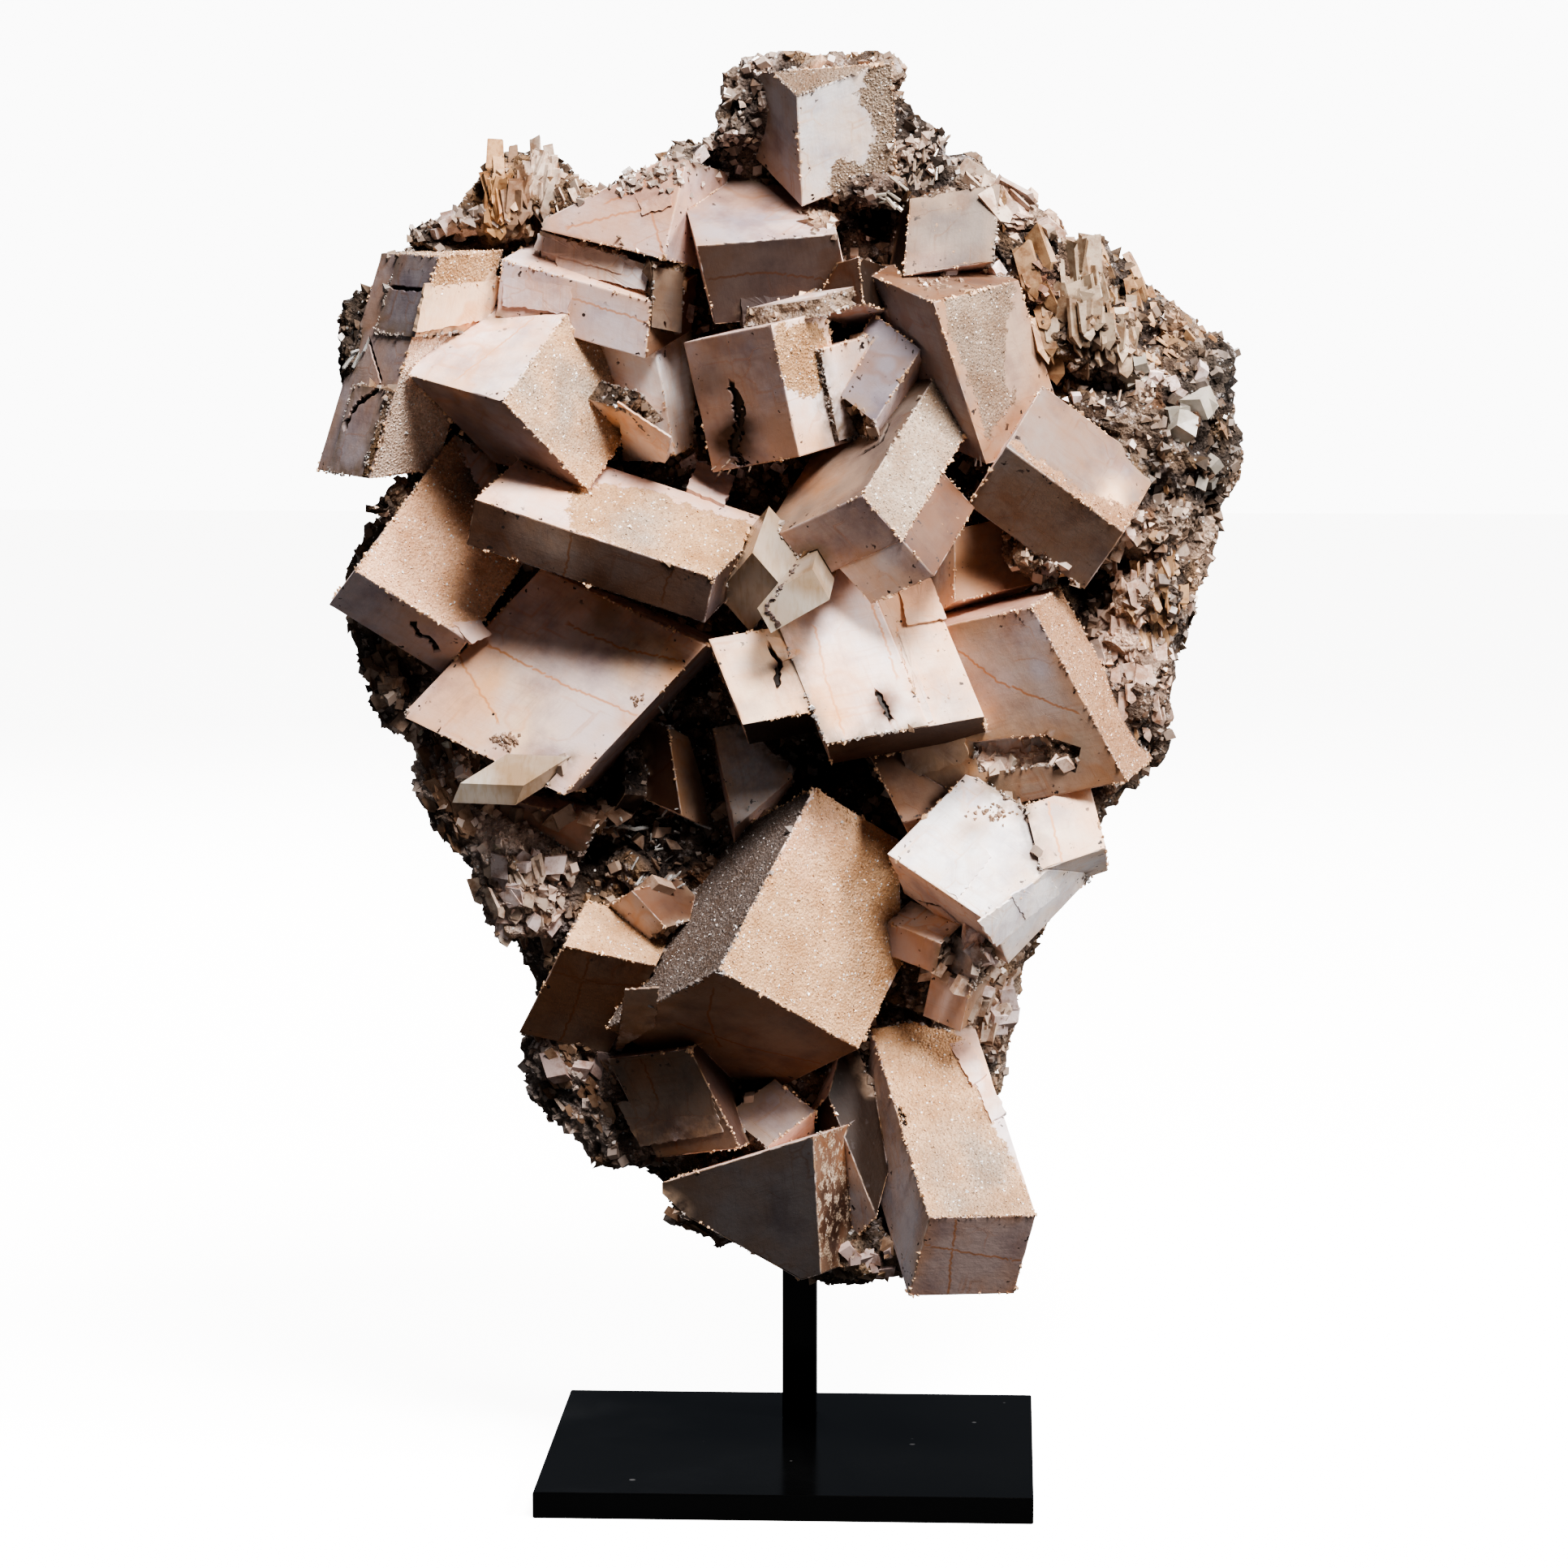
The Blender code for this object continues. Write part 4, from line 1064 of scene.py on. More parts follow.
deep = dyed(tree, tint, CRUST_DEPTH)
crust_colour = mixed(tree, patches(tree, where, 70.0, 0.42, 0.66, 6.0, 0.7), tint, deep)
crust_colour = mixed(tree, eased(tree, sugar["Shade"], 0.0, 1.0, 0.0, 0.6), crust_colour, deep)
clean = eased(tree, tint, 0.22, 0.45, 0.25, 1.0)
crust_colour = mixed(tree, times(tree, sugar["Glint"], clean), crust_colour, GLINT)
colour = mixed(tree, crust, colour, crust_colour)
worn = patches(tree, where, 200.0, 0.42, 0.62, 5.0, 0.7, 0.0, 0.7)
worn = times(tree, attribute(tree, "edge_wear"), worn)
colour = mixed(tree, worn, colour, mixed(tree, patches(tree, where, 90.0, 0.42, 0.58), CRUST, WHITE))
# Painted shade: the open cracks are painted near black inside their sunk groove
colour = mixed(tree, eased(tree, attribute(tree, "crack"), 0.25, 0.6), colour, CRACK_DARK)
relief = times(tree, crust, times(tree, sugar["Height"], 0.6))
ripple = times(tree, cloud(tree, where, 320.0, 4.0), 0.25)
for height, strength in ((split["Step"], 0.35), (split["Streak"], 0.10)):
    ripple = reckon(tree, "ADD", ripple, times(tree, height, strength))
joined(tree, shader, {"Base Color": colour, "Roughness": eased(tree, crust, 0.0, 1.0, 0.50, 0.65),
                      "Specular IOR Level": 0.25,
                      "Normal": bumped(tree, 0.8, 0.7 * MM, reckon(tree, "ADD", relief, ripple))})
mesh.materials.append(faces_look)

# The rock: dark and pale patches, rust, painted shade in its pits and hollows, and a few glints
ROCK_DARK = (0.30, 0.24, 0.20)
RUST = (0.294, 0.119, 0.042)

rock_look, tree, shader = new_look("rock")
where = object_place(tree)
tint = attribute(tree, "rock_tint", "Color")
colour = mixed(tree, patches(tree, where, 60.0, 0.36, 0.56, 6.0, 0.75), dyed(tree, tint, ROCK_DARK), tint)
pale = mixed(tree, 0.5, tint, WHITE)
colour = mixed(tree, patches(tree, where, 140.0, 0.56, 0.66, 4.0, 0.7), colour, pale)
colour = mixed(tree, times(tree, patches(tree, where, 34.0, 0.60, 0.70, 4.0), 0.6), colour, RUST)
colour = mixed(tree, times(tree, attribute(tree, "pit"), 0.8), colour, SPECK)
sugar = effect(tree, sugar_group, Scale=800.0, Glints=0.05)
colour = mixed(tree, times(tree, sugar["Glint"], 0.7), colour, GLINT)
relief = reckon(tree, "ADD", times(tree, cloud(tree, where, 180.0, 6.0, 0.8), 3.0), sugar["Height"])
joined(tree, shader, {"Base Color": colour, "Roughness": 0.75,
                      "Normal": bumped(tree, 1.0, 1.2 * MM, relief)})
mesh.materials.append(rock_look)


# Cleavage flakes: thin broken steps on the crystal faces, split along the crystal's own
# planes. Each rises out of its face from the first side of its outline on the sheet to a
# ragged step on the far side, given with its height in mm.
FLAKES = (
    ("shoulder_right", 1.5, ((524, 350), (620, 340), (602, 392), (510, 408))),
    ("ledge_top", 1.6, ((662, 288), (772, 316), (768, 336), (660, 306))),
    ("ledge_top", 2.4, ((680, 300), (802, 332), (798, 356), (690, 330))),
    ("ledge_front", 1.2, ((622, 338), (706, 350), (700, 386), (620, 376))),
    ("upper_centre_front", 3.2, ((912, 366), (984, 362), (990, 398), (912, 402))),
    ("big_tan_side", 2.2, ((760, 496), (826, 540), (824, 564), (772, 562))),
    ("stepped_rise", 1.5, ((1104, 712), (1147, 712), (1166, 764), (1118, 772))),
    ("stepped_rise", 0.7, ((1100, 760), (1108, 758), (1150, 888), (1134, 890))),
    ("wing", 0.9, ((940, 780), (982, 786), (986, 806), (964, 816))),
    ("right_plate_front", 1.2, ((1100, 892), (1178, 876), (1196, 934), (1120, 958))),
    ("bright_main", 0.5, ((1150, 1084), (1200, 1032), (1222, 1056), (1180, 1108))),
    ("bright_right", 1.6, ((1206, 1136), (1250, 1106), (1264, 1130), (1224, 1164))),
    ("bright_right", 1.8, ((1246, 1104), (1292, 1078), (1302, 1098), (1260, 1130))),
    ("foot_block_front", 1.1, ((1190, 1306), (1202, 1300), (1240, 1372), (1222, 1384))),
    ("foot_block_front", 1.6, ((1168, 1282), (1190, 1278), (1216, 1326), (1198, 1340))),
    ("slab_top", 1.6, ((860, 568), (906, 586), (892, 626), (846, 606))),
    ("upper_left_front", 0.8, ((780, 232), (824, 214), (828, 254), (792, 266))),
    ("great_under", 1.6, ((770, 1220), (812, 1218), (806, 1262), (760, 1290))),
    ("left_tan_main", 1.2, ((556, 764), (590, 762), (604, 782), (580, 794))),
    ("low_left_front", 1.0, ((760, 1360), (872, 1338), (892, 1394), (790, 1412))),
)
FLAKE_STEP = 1.2 * MM
FLAKE_SUNK = 0.8 * MM
FLAKE_RAGGED = 0.25 * MM
FLAKE_START = 0.1 * MM
FLAKE_WEAR = 0.45
FLAKE_GRAIN = 1.4
flake_points = []
flake_faces = []
flake_tint = []
flake_wear = []
for name, height, outline in FLAKES:
    height *= MM
    ragged = random.Random(outline[0][0])
    face = group_named[name]
    normal = group_normals[face]
    level = group_levels[face]
    corners = []
    for point in outline:
        line = sight(point)
        corners.append(EYE + line * ((level - EYE.dot(normal)) / line.dot(normal)))
    rim = []
    rise = []
    for side, (start, end) in enumerate(zip(corners, corners[1:] + corners[:1])):
        parts = max(2, int((end - start).length / FLAKE_STEP))
        beside = normal.cross(end - start).normalized()
        for part in range(parts):
            shift = beside * ragged.gauss(0.0, FLAKE_RAGGED) if part else beside * 0.0
            rim.append(start.lerp(end, part / parts) + shift)
            rise.append(height * (0.0, part / parts, 1.0, 1.0 - part / parts)[side] - FLAKE_START)
    middle = sum(rim, Vector()) / len(rim)
    first = len(flake_points)
    count = len(rim)
    turned_over = (rim[1] - rim[0]).cross(middle - rim[0]).dot(normal) < 0
    flake_points += [place - normal * FLAKE_SUNK for place in rim]
    flake_points += [place + normal * up for place, up in zip(rim, rise)]
    flake_points.append(middle + normal * (sum(rise) / count))
    for i in range(count):
        j = (i + 1) % count
        for ids in ((i, j, count + j), (i, count + j, count + i), (count + i, count + j, 2 * count)):
            ids = [first + number for number in ids]
            flake_faces.append(ids[::-1] if turned_over else ids)
    own = np.nonzero(corner_group == face)[0]
    for i in range(2 * count + 1):
        seen = np.sum((corner_sheet[own] - on_sheet([flake_points[first + i]])[0]) ** 2, axis=1)
        flake_tint.append(bare_tint[own[np.argmin(seen)]])
        on_step = count <= i < 2 * count and rise[i - count] > 0.5 * height
        flake_wear.append(FLAKE_WEAR if on_step else 0.0)
flake_points = np.array([tuple(point) for point in flake_points])
flakes = mesh_of("cleavage_flakes", inside_box(flake_points), flake_faces)
blank = np.zeros(len(flake_points))
for name, values in (("bare_tint", flake_tint), ("crust_tint", np.tile(CRUST, (len(flake_points), 1))),
                     ("crusted", blank - 1.0), ("edge_wear", flake_wear), ("near_rock", blank),
                     ("near_edge", blank), ("vein", blank), ("crack", blank),
                     ("cleavage", flake_points * FLAKE_GRAIN)):
    painted(flakes, name, values)
flakes.materials.append(faces_look)
piece("cleavage_flakes", flakes)


# Crumb and crust: thousands of small dolomite crystals and rock chips grown on the cluster,
# thick along the crystals' edges and in the hollows. Each sits half sunk in what carries it.
GRAINS = 30000
GRAIN_SIZE = 0.36 * MM
GRAIN_TONES = (0.7, 1.15)
GRAIN_GLINTS = 0.03
GLINT_LARGER = 0.3
CLEAN_FROM = 0.4
EDGE_GRAIN_SIZE = 0.5 * MM
EDGE_GRAIN_TONES = (0.8, 1.3)
EDGE_GRAIN_STRAY = 0.3 * MM
EDGE_GRAIN_GAP = 0.75 * MM
SEAM_GRAIN_GAP = 1.0 * MM
CRUSTED_FROM = 0.1
CRUSTED_EDGE_FROM = 0.2
CHIPS = 7000
CHIP_SIZE = 1.5 * MM
CHIP_SHAPES = (0.5, 1.2)
CHIP_TONES = (0.45, 1.25)
CHIPS_BEHIND = 0.12
PALE_CHIPS = 0.2
PALE_CHIP = (0.17, 0.12, 0.09)
ROCK_RHOMBS = 3000
ROCK_RHOMB_SIZE = 1.7 * MM
ROCK_RHOMBS_BEHIND = 0.05
ROCK_RHOMB_PALE = (1.0, 0.80, 0.66)
HOLLOW_SHADE = 0.75


def unit(vectors):
    """Vectors brought to a length of one."""
    return vectors / np.linalg.norm(vectors, axis=1)[:, None]


def samples(chosen, count, dice, weight=None):
    """Points spread over the chosen triangles: places, facings and which triangle each is on."""
    a, b, c = (places[triangles[chosen, i]] for i in range(3))
    face = np.cross(b - a, c - a)
    area = np.linalg.norm(face, axis=1)
    odds = area if weight is None else area * weight
    picks = dice.choice(len(chosen), count, p=odds / odds.sum())
    u, v = dice.random((2, count, 1))
    fold = u + v > 1.0
    u, v = np.where(fold, 1.0 - u, u), np.where(fold, 1.0 - v, v)
    spot = a[picks] + (b - a)[picks] * u + (c - a)[picks] * v
    return spot, face[picks] / np.maximum(area[picks], 1e-12)[:, None], chosen[picks]


def sized(count, size, dice, spread, most=np.inf):
    """A size for each piece, spread about a usual one and never more than so many times it."""
    return size * np.minimum(dice.lognormal(0.0, spread, (count, 1)), most)


def leaning(facings, dice, tilt):
    """Three axes for each piece, the last one near the surface's facing."""
    up = unit(facings + dice.normal(0.0, tilt, facings.shape))
    side = unit(np.cross(up, dice.normal(size=up.shape)))
    return np.stack([side, np.cross(up, side), up], axis=1)


def strewn(name, shape, spots, axes, sizes, shades, look, ragged=0.0):
    """One piece made of many small crystals: the shape's points set at each spot on its axes."""
    points, faces = (np.array(part) for part in shape)
    dice = np.random.default_rng(len(spots))
    local = points[None] * sizes[:, None, :]
    local = local * (1.0 + dice.normal(0.0, ragged, local.shape))
    made = spots[:, None] + np.einsum("nkj,nji->nki", local, axes)
    shifts = np.arange(len(spots))[:, None, None] * len(points)
    grains = mesh_of(name, inside_box(made.reshape(-1, 3)), (faces[None] + shifts).reshape(-1, 3))
    painted(grains, "shade", np.repeat(np.clip(shades, 0.0, 1.0), len(points), axis=0))
    grains.materials.append(look)
    return piece(name, grains)


def rhomb_shape(angle):
    """A rhomb with its three-fold corner up: eight points and twelve triangles."""
    lean = math.radians(angle)
    arms = [Vector((math.sin(lean) * math.cos(turn), math.sin(lean) * math.sin(turn), math.cos(lean)))
            for turn in (0.0, math.tau / 3, 2 * math.tau / 3)]
    corners = [arms[0] * i + arms[1] * j + arms[2] * k for k in (0, 1) for j in (0, 1) for i in (0, 1)]
    middle = sum(corners, Vector()) / 8
    squares = ((0, 2, 3, 1), (4, 5, 7, 6), (0, 1, 5, 4), (2, 6, 7, 3), (0, 4, 6, 2), (1, 3, 7, 5))
    halves = [half for a, b, c, d in squares for half in ((a, b, c), (a, c, d))]
    return [tuple(corner - middle) for corner in corners], halves


POINTED = ([(1.0, 0.0, -0.2), (-0.5, 0.87, -0.2), (-0.5, -0.87, -0.2), (0.1, 0.05, 0.75)],
           [(0, 1, 3), (1, 2, 3), (2, 0, 3)])
CHUNK = ([(1.0, 0.1, 0.0), (0.1, 0.9, 0.1), (-0.9, 0.2, -0.1), (-0.2, -1.0, 0.1), (0.2, 0.1, 0.8),
          (0.0, 0.0, -0.6)],
         [(0, 1, 4), (1, 2, 4), (2, 3, 4), (3, 0, 4), (1, 0, 5), (2, 1, 5), (3, 2, 5), (0, 3, 5)])
RHOMB = rhomb_shape(62.0)
BLOCK = ([(x + 0.25 * z, y + 0.12 * z + 0.18 * x, 0.7 * z) for z in (-1, 0.6) for y in (-0.8, 0.8)
          for x in (-1.0, 1.0)], RHOMB[1])

# Their finishes: each tinted by its own shade, with dull patches
CRUMB_DULL = (0.5, 0.42, 0.36)
BLOCK_DULL = (0.62, 0.50, 0.42)
QUARTZ_DULL = (0.80, 0.78, 0.74)
QUARTZ_BEND = 1.54

sugar_look, tree, shader = new_look("sugar")
frosted = patches(tree, object_place(tree), 300.0, 0.35, 0.65, 3.0, 0.6, 0.0, 0.12)
joined(tree, shader, {"Base Color": mixed(tree, frosted, attribute(tree, "shade", "Color"), WHITE),
                      "Roughness": 0.28, "Specular IOR Level": 0.6})

crumb_look, tree, shader = new_look("crumb")
tint = attribute(tree, "shade", "Color")
clear = patches(tree, object_place(tree), 220.0, 0.4, 0.6, 4.0)
colour = mixed(tree, clear, dyed(tree, tint, CRUMB_DULL), tint)
joined(tree, shader, {"Base Color": colour, "Roughness": 0.5})

block_look, tree, shader = new_look("small_dolomite")
where = object_place(tree)
tint = attribute(tree, "shade", "Color")
dull = patches(tree, where, 150.0, 0.46, 0.62, 5.0, 0.7)
colour = mixed(tree, dull, tint, dyed(tree, tint, BLOCK_DULL))
joined(tree, shader, {"Base Color": colour, "Roughness": 0.45,
                      "Normal": bumped(tree, 0.5, 0.3 * MM, cloud(tree, where, 420.0, 5.0))})

quartz_look, tree, shader = new_look("quartz")
where = object_place(tree)
tint = attribute(tree, "shade", "Color")
clear = patches(tree, where, 180.0, 0.4, 0.6, 4.0)
colour = mixed(tree, clear, dyed(tree, tint, QUARTZ_DULL), tint)
joined(tree, shader, {"Base Color": colour,
                      "Roughness": patches(tree, where, 260.0, 0.4, 0.6, 3.0, 0.6, 0.06, 0.22),
                      "Transmission Weight": 0.45, "IOR": QUARTZ_BEND})

dice = np.random.default_rng(11)
triangle_crust = crusted.reshape(-1, 3).mean(axis=1)
crust_faces = np.nonzero(crystal_triangle & (triangle_crust > CRUSTED_FROM))[0]
spots, facings, held = samples(crust_faces, GRAINS, dice)
sizes = sized(GRAINS, GRAIN_SIZE, dice, 0.32)
tints = crust_tint.reshape(-1, 3, 3).mean(axis=1)[held]
clean = np.clip(tints.mean(axis=1, keepdims=True) / CLEAN_FROM, 0.0, 1.0) ** 2
bright = (dice.random((GRAINS, 1)) < GRAIN_GLINTS * clean).astype(float)
shades = tints * dice.uniform(*GRAIN_TONES, (GRAINS, 1)) * (1.0 - bright) + np.array(GLINT) * bright
sizes = sizes * (1.0 + GLINT_LARGER * bright)
strewn("crust_grains", POINTED, spots, leaning(facings, dice, 0.45), sizes, shades, sugar_look, 0.15)

# Grains crowd the edges of crusted faces and the seams between crystal and rock, and sit here
# and there on bare edges, where a noise of the first number's scale is above the second
ON_BARE = (45.0, 0.12)
ON_SEAM = (80.0, 0.0)
SEAM_TINT = (0.6, 0.2)
edge_spots = []
edge_facings = []
edge_tints = []
crust_at = np.full(len(places), -1.0)
np.maximum.at(crust_at, corner_place, crusted)
crust_colour_at = np.zeros((len(places), 3))
crust_colour_at[corner_place] = crust_tint
seam = on_rock & on_crystal & (places[:, 1] < FRONT_TO)


def thick_at(place, scale, least):
    """Whether a noise of this scale is high at a place."""
    return noise.noise(Vector(place * scale)) > least


for near, far in links:
    worn_edge = edge_wear[near] and edge_wear[far]
    on_edge = worn_edge and min(crust_at[near], crust_at[far]) > CRUSTED_EDGE_FROM
    on_bare = worn_edge and thick_at(places[near], *ON_BARE)
    on_seam = seam[near] and seam[far] and thick_at(places[near], *ON_SEAM)
    if not (on_edge or on_seam or on_bare) or places[near, 1] > FRONT_TO:
        continue
    length = np.linalg.norm(places[far] - places[near])
    for _ in range(dice.poisson(length / (EDGE_GRAIN_GAP if on_edge else SEAM_GRAIN_GAP))):
        share = dice.random()
        edge_spots.append(places[near] * (1 - share) + places[far] * share)
        edge_facings.append(normals[near])
        seam_tint = rock_tint[near] * SEAM_TINT[0] + SEAM_TINT[1]
        edge_tints.append(seam_tint if on_seam else crust_colour_at[near])
edge_spots = np.array(edge_spots) + dice.normal(0.0, EDGE_GRAIN_STRAY, (len(edge_spots), 3))
sizes = sized(len(edge_spots), EDGE_GRAIN_SIZE, dice, 0.45)
shades = np.array(edge_tints) * dice.uniform(*EDGE_GRAIN_TONES, (len(edge_spots), 1))
axes = leaning(np.array(edge_facings), dice, 0.8)
strewn("edge_grains", CHUNK, edge_spots, axes, sizes, shades, sugar_look, 0.2)

# Chips and small rhombs on the rock, few on its back, and darkened in its hollows as painted shade
middles = places[triangles].mean(axis=1)
rock_faces = np.nonzero(~crystal_triangle)[0]
front = middles[rock_faces, 1] < FRONT_TO
spots, facings, held = samples(rock_faces, CHIPS, dice, np.where(front, 1.0, CHIPS_BEHIND))
sizes = sized(CHIPS, CHIP_SIZE, dice, 0.55, 2.6)
shades = rock_tint[triangles[held, 0]] * dice.uniform(*CHIP_TONES, (CHIPS, 1))
shades += np.array(PALE_CHIP) * dice.choice([0.0, 1.0], (CHIPS, 1), p=[1 - PALE_CHIPS, PALE_CHIPS])
shades *= 1.0 - HOLLOW_SHADE * hollow[triangles[held, 0]][:, None]
axes = leaning(facings, dice, 0.6)
sizes = sizes * dice.uniform(*CHIP_SHAPES, (CHIPS, 3))
strewn("rock_chips", CHUNK, spots, axes, sizes, shades, crumb_look, 0.2)
spots, facings, held = samples(rock_faces, ROCK_RHOMBS, dice, np.where(front, 1.0, ROCK_RHOMBS_BEHIND))
sizes = sized(ROCK_RHOMBS, ROCK_RHOMB_SIZE, dice, 0.5, 2.2)
shades = rock_tint[triangles[held, 0]] * 0.8
shades += dice.uniform(0.0, 0.18, (ROCK_RHOMBS, 1)) * np.array(ROCK_RHOMB_PALE)
shades *= 1.0 - HOLLOW_SHADE * hollow[triangles[held, 0]][:, None]
strewn("rock_rhombs", RHOMB, spots, leaning(facings, dice, 0.7), sizes, shades, sugar_look)

# Beds of larger pieces on the cluster: blades, needles, clumps and rhombs grown in its hollows
# and in the rock. Each bed has a middle and a spread on the sheet, how many pieces, their
# length in mm, the way they point on the sheet, or None for out of the surface, and a colour.
OPEN_FACE = 450e-6
LENGTH_SPREAD = 0.3
LONGEST = 1.4
BED_TONES = (0.75, 1.2)
BLADE_TURN = 0.45
BLOCK_HALF = 0.55
PALE_BLADE = (0.56, 0.43, 0.34)
CREAM_BLADE = (0.40, 0.30, 0.215)
PINK_BLADE = (0.62, 0.46, 0.38)
TAN_BLADE = (0.42, 0.26, 0.15)
RUSTY_BLADE = (0.50, 0.29, 0.15)
BROWN_BLADE = (0.32, 0.20, 0.13)
CLEAR_WHITE = (0.80, 0.78, 0.75)
GLASSY = (0.80, 0.72, 0.63)
MILKY = (0.40, 0.30, 0.24)
BLADE_BEDS = (
    ((1338, 372), (16, 30), 34, 14, (0.15, 1.0), CREAM_BLADE),
    ((1372, 400), (18, 26), 26, 10, (0.05, 1.0), CREAM_BLADE),
    ((1400, 370), (30, 34), 44, 7, (0.45, 1.0), TAN_BLADE),
    ((1285, 400), (14, 34), 16, 14, (0.35, 1.0), TAN_BLADE),
    ((1375, 470), (30, 14), 22, 6, (0.1, 1.0), PALE_BLADE),
    ((1455, 430), (26, 24), 14, 6, (0.9, 0.7), TAN_BLADE),
    ((1265, 250), (34, 22), 26, 12, (1.0, 0.75), PINK_BLADE),
    ((1235, 235), (30, 22), 20, 12, (1.0, 0.8), PALE_BLADE),
    ((1400, 800), (22, 60), 60, 8, (0.1, 1.0), PINK_BLADE),
    ((1425, 740), (18, 50), 50, 6.5, (0.2, 1.0), TAN_BLADE),
    ((614, 240), (7, 20), 26, 11, (0.05, 1.0), RUSTY_BLADE),
    ((640, 245), (8, 24), 34, 11, (0.02, 1.0), BROWN_BLADE),
    ((668, 225), (10, 22), 40, 9, (-0.1, 1.0), PALE_BLADE),
    ((700, 265), (20, 12), 26, 6, (0.4, 1.0), PALE_BLADE),
    ((640, 1110), (30, 34), 60, 8, (0.3, 1.0), PALE_BLADE),
    ((560, 960), (22, 44), 50, 9, (0.4, 1.0), BROWN_BLADE),
    ((1222, 1235), (12, 36), 30, 8, (0.3, -1.0), PALE_BLADE),
    ((1245, 1190), (12, 26), 20, 7, (0.9, -0.8), PALE_BLADE),
    ((472, 840), (12, 30), 20, 8, (0.3, 1.0), BROWN_BLADE),
    ((850, 1490), (40, 22), 40, 8, (1.0, 0.6), BROWN_BLADE),
    ((700, 1320), (34, 40), 50, 7, (0.7, 1.0), BROWN_BLADE),
)
NEEDLE_BEDS = (
    ((765, 1015), (20, 5), 12, 8, (1.0, 0.1), CLEAR_WHITE),
    ((808, 1082), (16, 12), 16, 7, (0.8, -0.9), CLEAR_WHITE),
    ((828, 868), (6, 10), 5, 6, (0.3, -1.0), CLEAR_WHITE),
    ((440, 428), (10, 8), 6, 8, (0.5, -0.6), CLEAR_WHITE),
    ((1203, 566), (6, 6), 5, 5, (0.2, -1.0), CLEAR_WHITE),
    ((820, 1030), (50, 22), 46, 5, None, CLEAR_WHITE),
    ((905, 578), (36, 9), 34, 4, None, PALE_BLADE),
    ((1290, 698), (12, 8), 12, 4, None, PALE_BLADE),
    ((1150, 200), (20, 24), 24, 7, (0.5, -1.0), PALE_BLADE),
    ((760, 300), (20, 8), 8, 5, None, PALE_BLADE),
    ((1098, 250), (14, 8), 16, 8, (-1.0, -0.5), GLASSY),
)
CLUMP_BEDS = (
    ((1012, 268), (11, 9), 90, 2.0, None, BROWN_BLADE),
    ((1012, 262), (11, 7), 60, 1.5, None, MILKY),
    ((622, 912), (8, 5), 60, 1.0, None, BROWN_BLADE),
    ((1297, 700), (5, 5), 12, 2.2, None, MILKY),
    ((785, 862), (5, 4), 14, 0.8, None, BROWN_BLADE),
    ((870, 170), (26, 10), 70, 1.7, None, MILKY),
    ((780, 215), (46, 12), 130, 1.8, None, MILKY),
    ((560, 272), (38, 8), 90, 2.0, None, MILKY),
    ((1385, 470), (36, 12), 90, 1.8, None, MILKY),
    ((1135, 185), (20, 22), 90, 1.8, None, MILKY),
    ((1225, 1000), (14, 7), 40, 0.8, None, BROWN_BLADE),
    ((1150, 350), (18, 5), 34, 1.3, None, BROWN_BLADE),
    ((858, 590), (14, 7), 26, 1.6, None, BROWN_BLADE),
)
# Painted light: the pink blocks in the bite are made nearly white, as they lie in shade here
BITE_PINK = (0.94, 0.73, 0.61)
BLOCK_BEDS = (
    ((1212, 1160), (16, 14), 9, 6.0, (0.2, 0.3), PINK_WHITE),
    ((1230, 1225), (9, 16), 8, 5.0, (0.2, 0.3), PINK_WHITE),
    ((1170, 1200), (24, 10), 6, 5.0, (0.2, 0.3), CREAM),
    ((1200, 345), (26, 10), 12, 5.0, (0.3, 0.3), PINK_WHITE),
    ((905, 570), (30, 9), 9, 4.0, (0.1, 0.3), PINK_WHITE),
    ((1300, 690), (24, 12), 9, 3.6, (0.1, 0.3), MAUVE),
    ((1240, 946), (40, 10), 30, 4.2, (0.1, 0.3), BITE_PINK),
    ((1250, 930), (40, 10), 26, 3.4, (0.1, 0.3), BITE_PINK),
    ((1150, 960), (26, 8), 12, 3.4, (0.1, 0.3), BITE_PINK),
    ((700, 1005), (34, 9), 8, 5.0, (0.2, 0.3), BROWN_GREY),
    ((850, 1010), (60, 24), 16, 5.0, (0.2, 0.3), BROWN_GREY),
    ((1000, 1404), (24, 10), 7, 5.0, (0.1, 0.3), MAUVE),
    ((735, 1300), (24, 20), 10, 6.0, (-0.2, 0.3), MAUVE),
    ((475, 860), (14, 24), 9, 5.0, (-0.2, 0.3), BROWN_GREY),
    ((850, 400), (12, 10), 5, 4.0, (0.1, 0.3), MAUVE),
    ((640, 1110), (28, 28), 16, 5.5, (-0.2, 0.3), PINK_WHITE),
    ((1420, 650), (34, 30), 14, 4.0, (0.2, 0.3), PALE_BLADE),
    ((1285, 245), (22, 12), 9, 5.0, (0.3, 0.4), CREAM),
    ((1395, 470), (30, 10), 12, 3.5, (0.2, 0.3), PINK_WHITE),
    ((560, 280), (40, 10), 14, 4.0, (0.0, 0.4), PINK_WHITE),
    ((845, 205), (46, 10), 16, 3.5, (0.1, 0.4), PINK_WHITE),
    ((1060, 1560), (24, 8), 8, 4.0, (0.1, 0.2), MAUVE),
)
CLEAR_BEDS = (
    ((1450, 535), (8, 14), 3, 6.0, None, GLASSY),
    ((1480, 498), (9, 6), 3, 6.0, None, GLASSY),
    ((1400, 462), (14, 6), 6, 4.0, None, GLASSY),
    ((1490, 580), (9, 12), 4, 4.0, None, GLASSY),
)


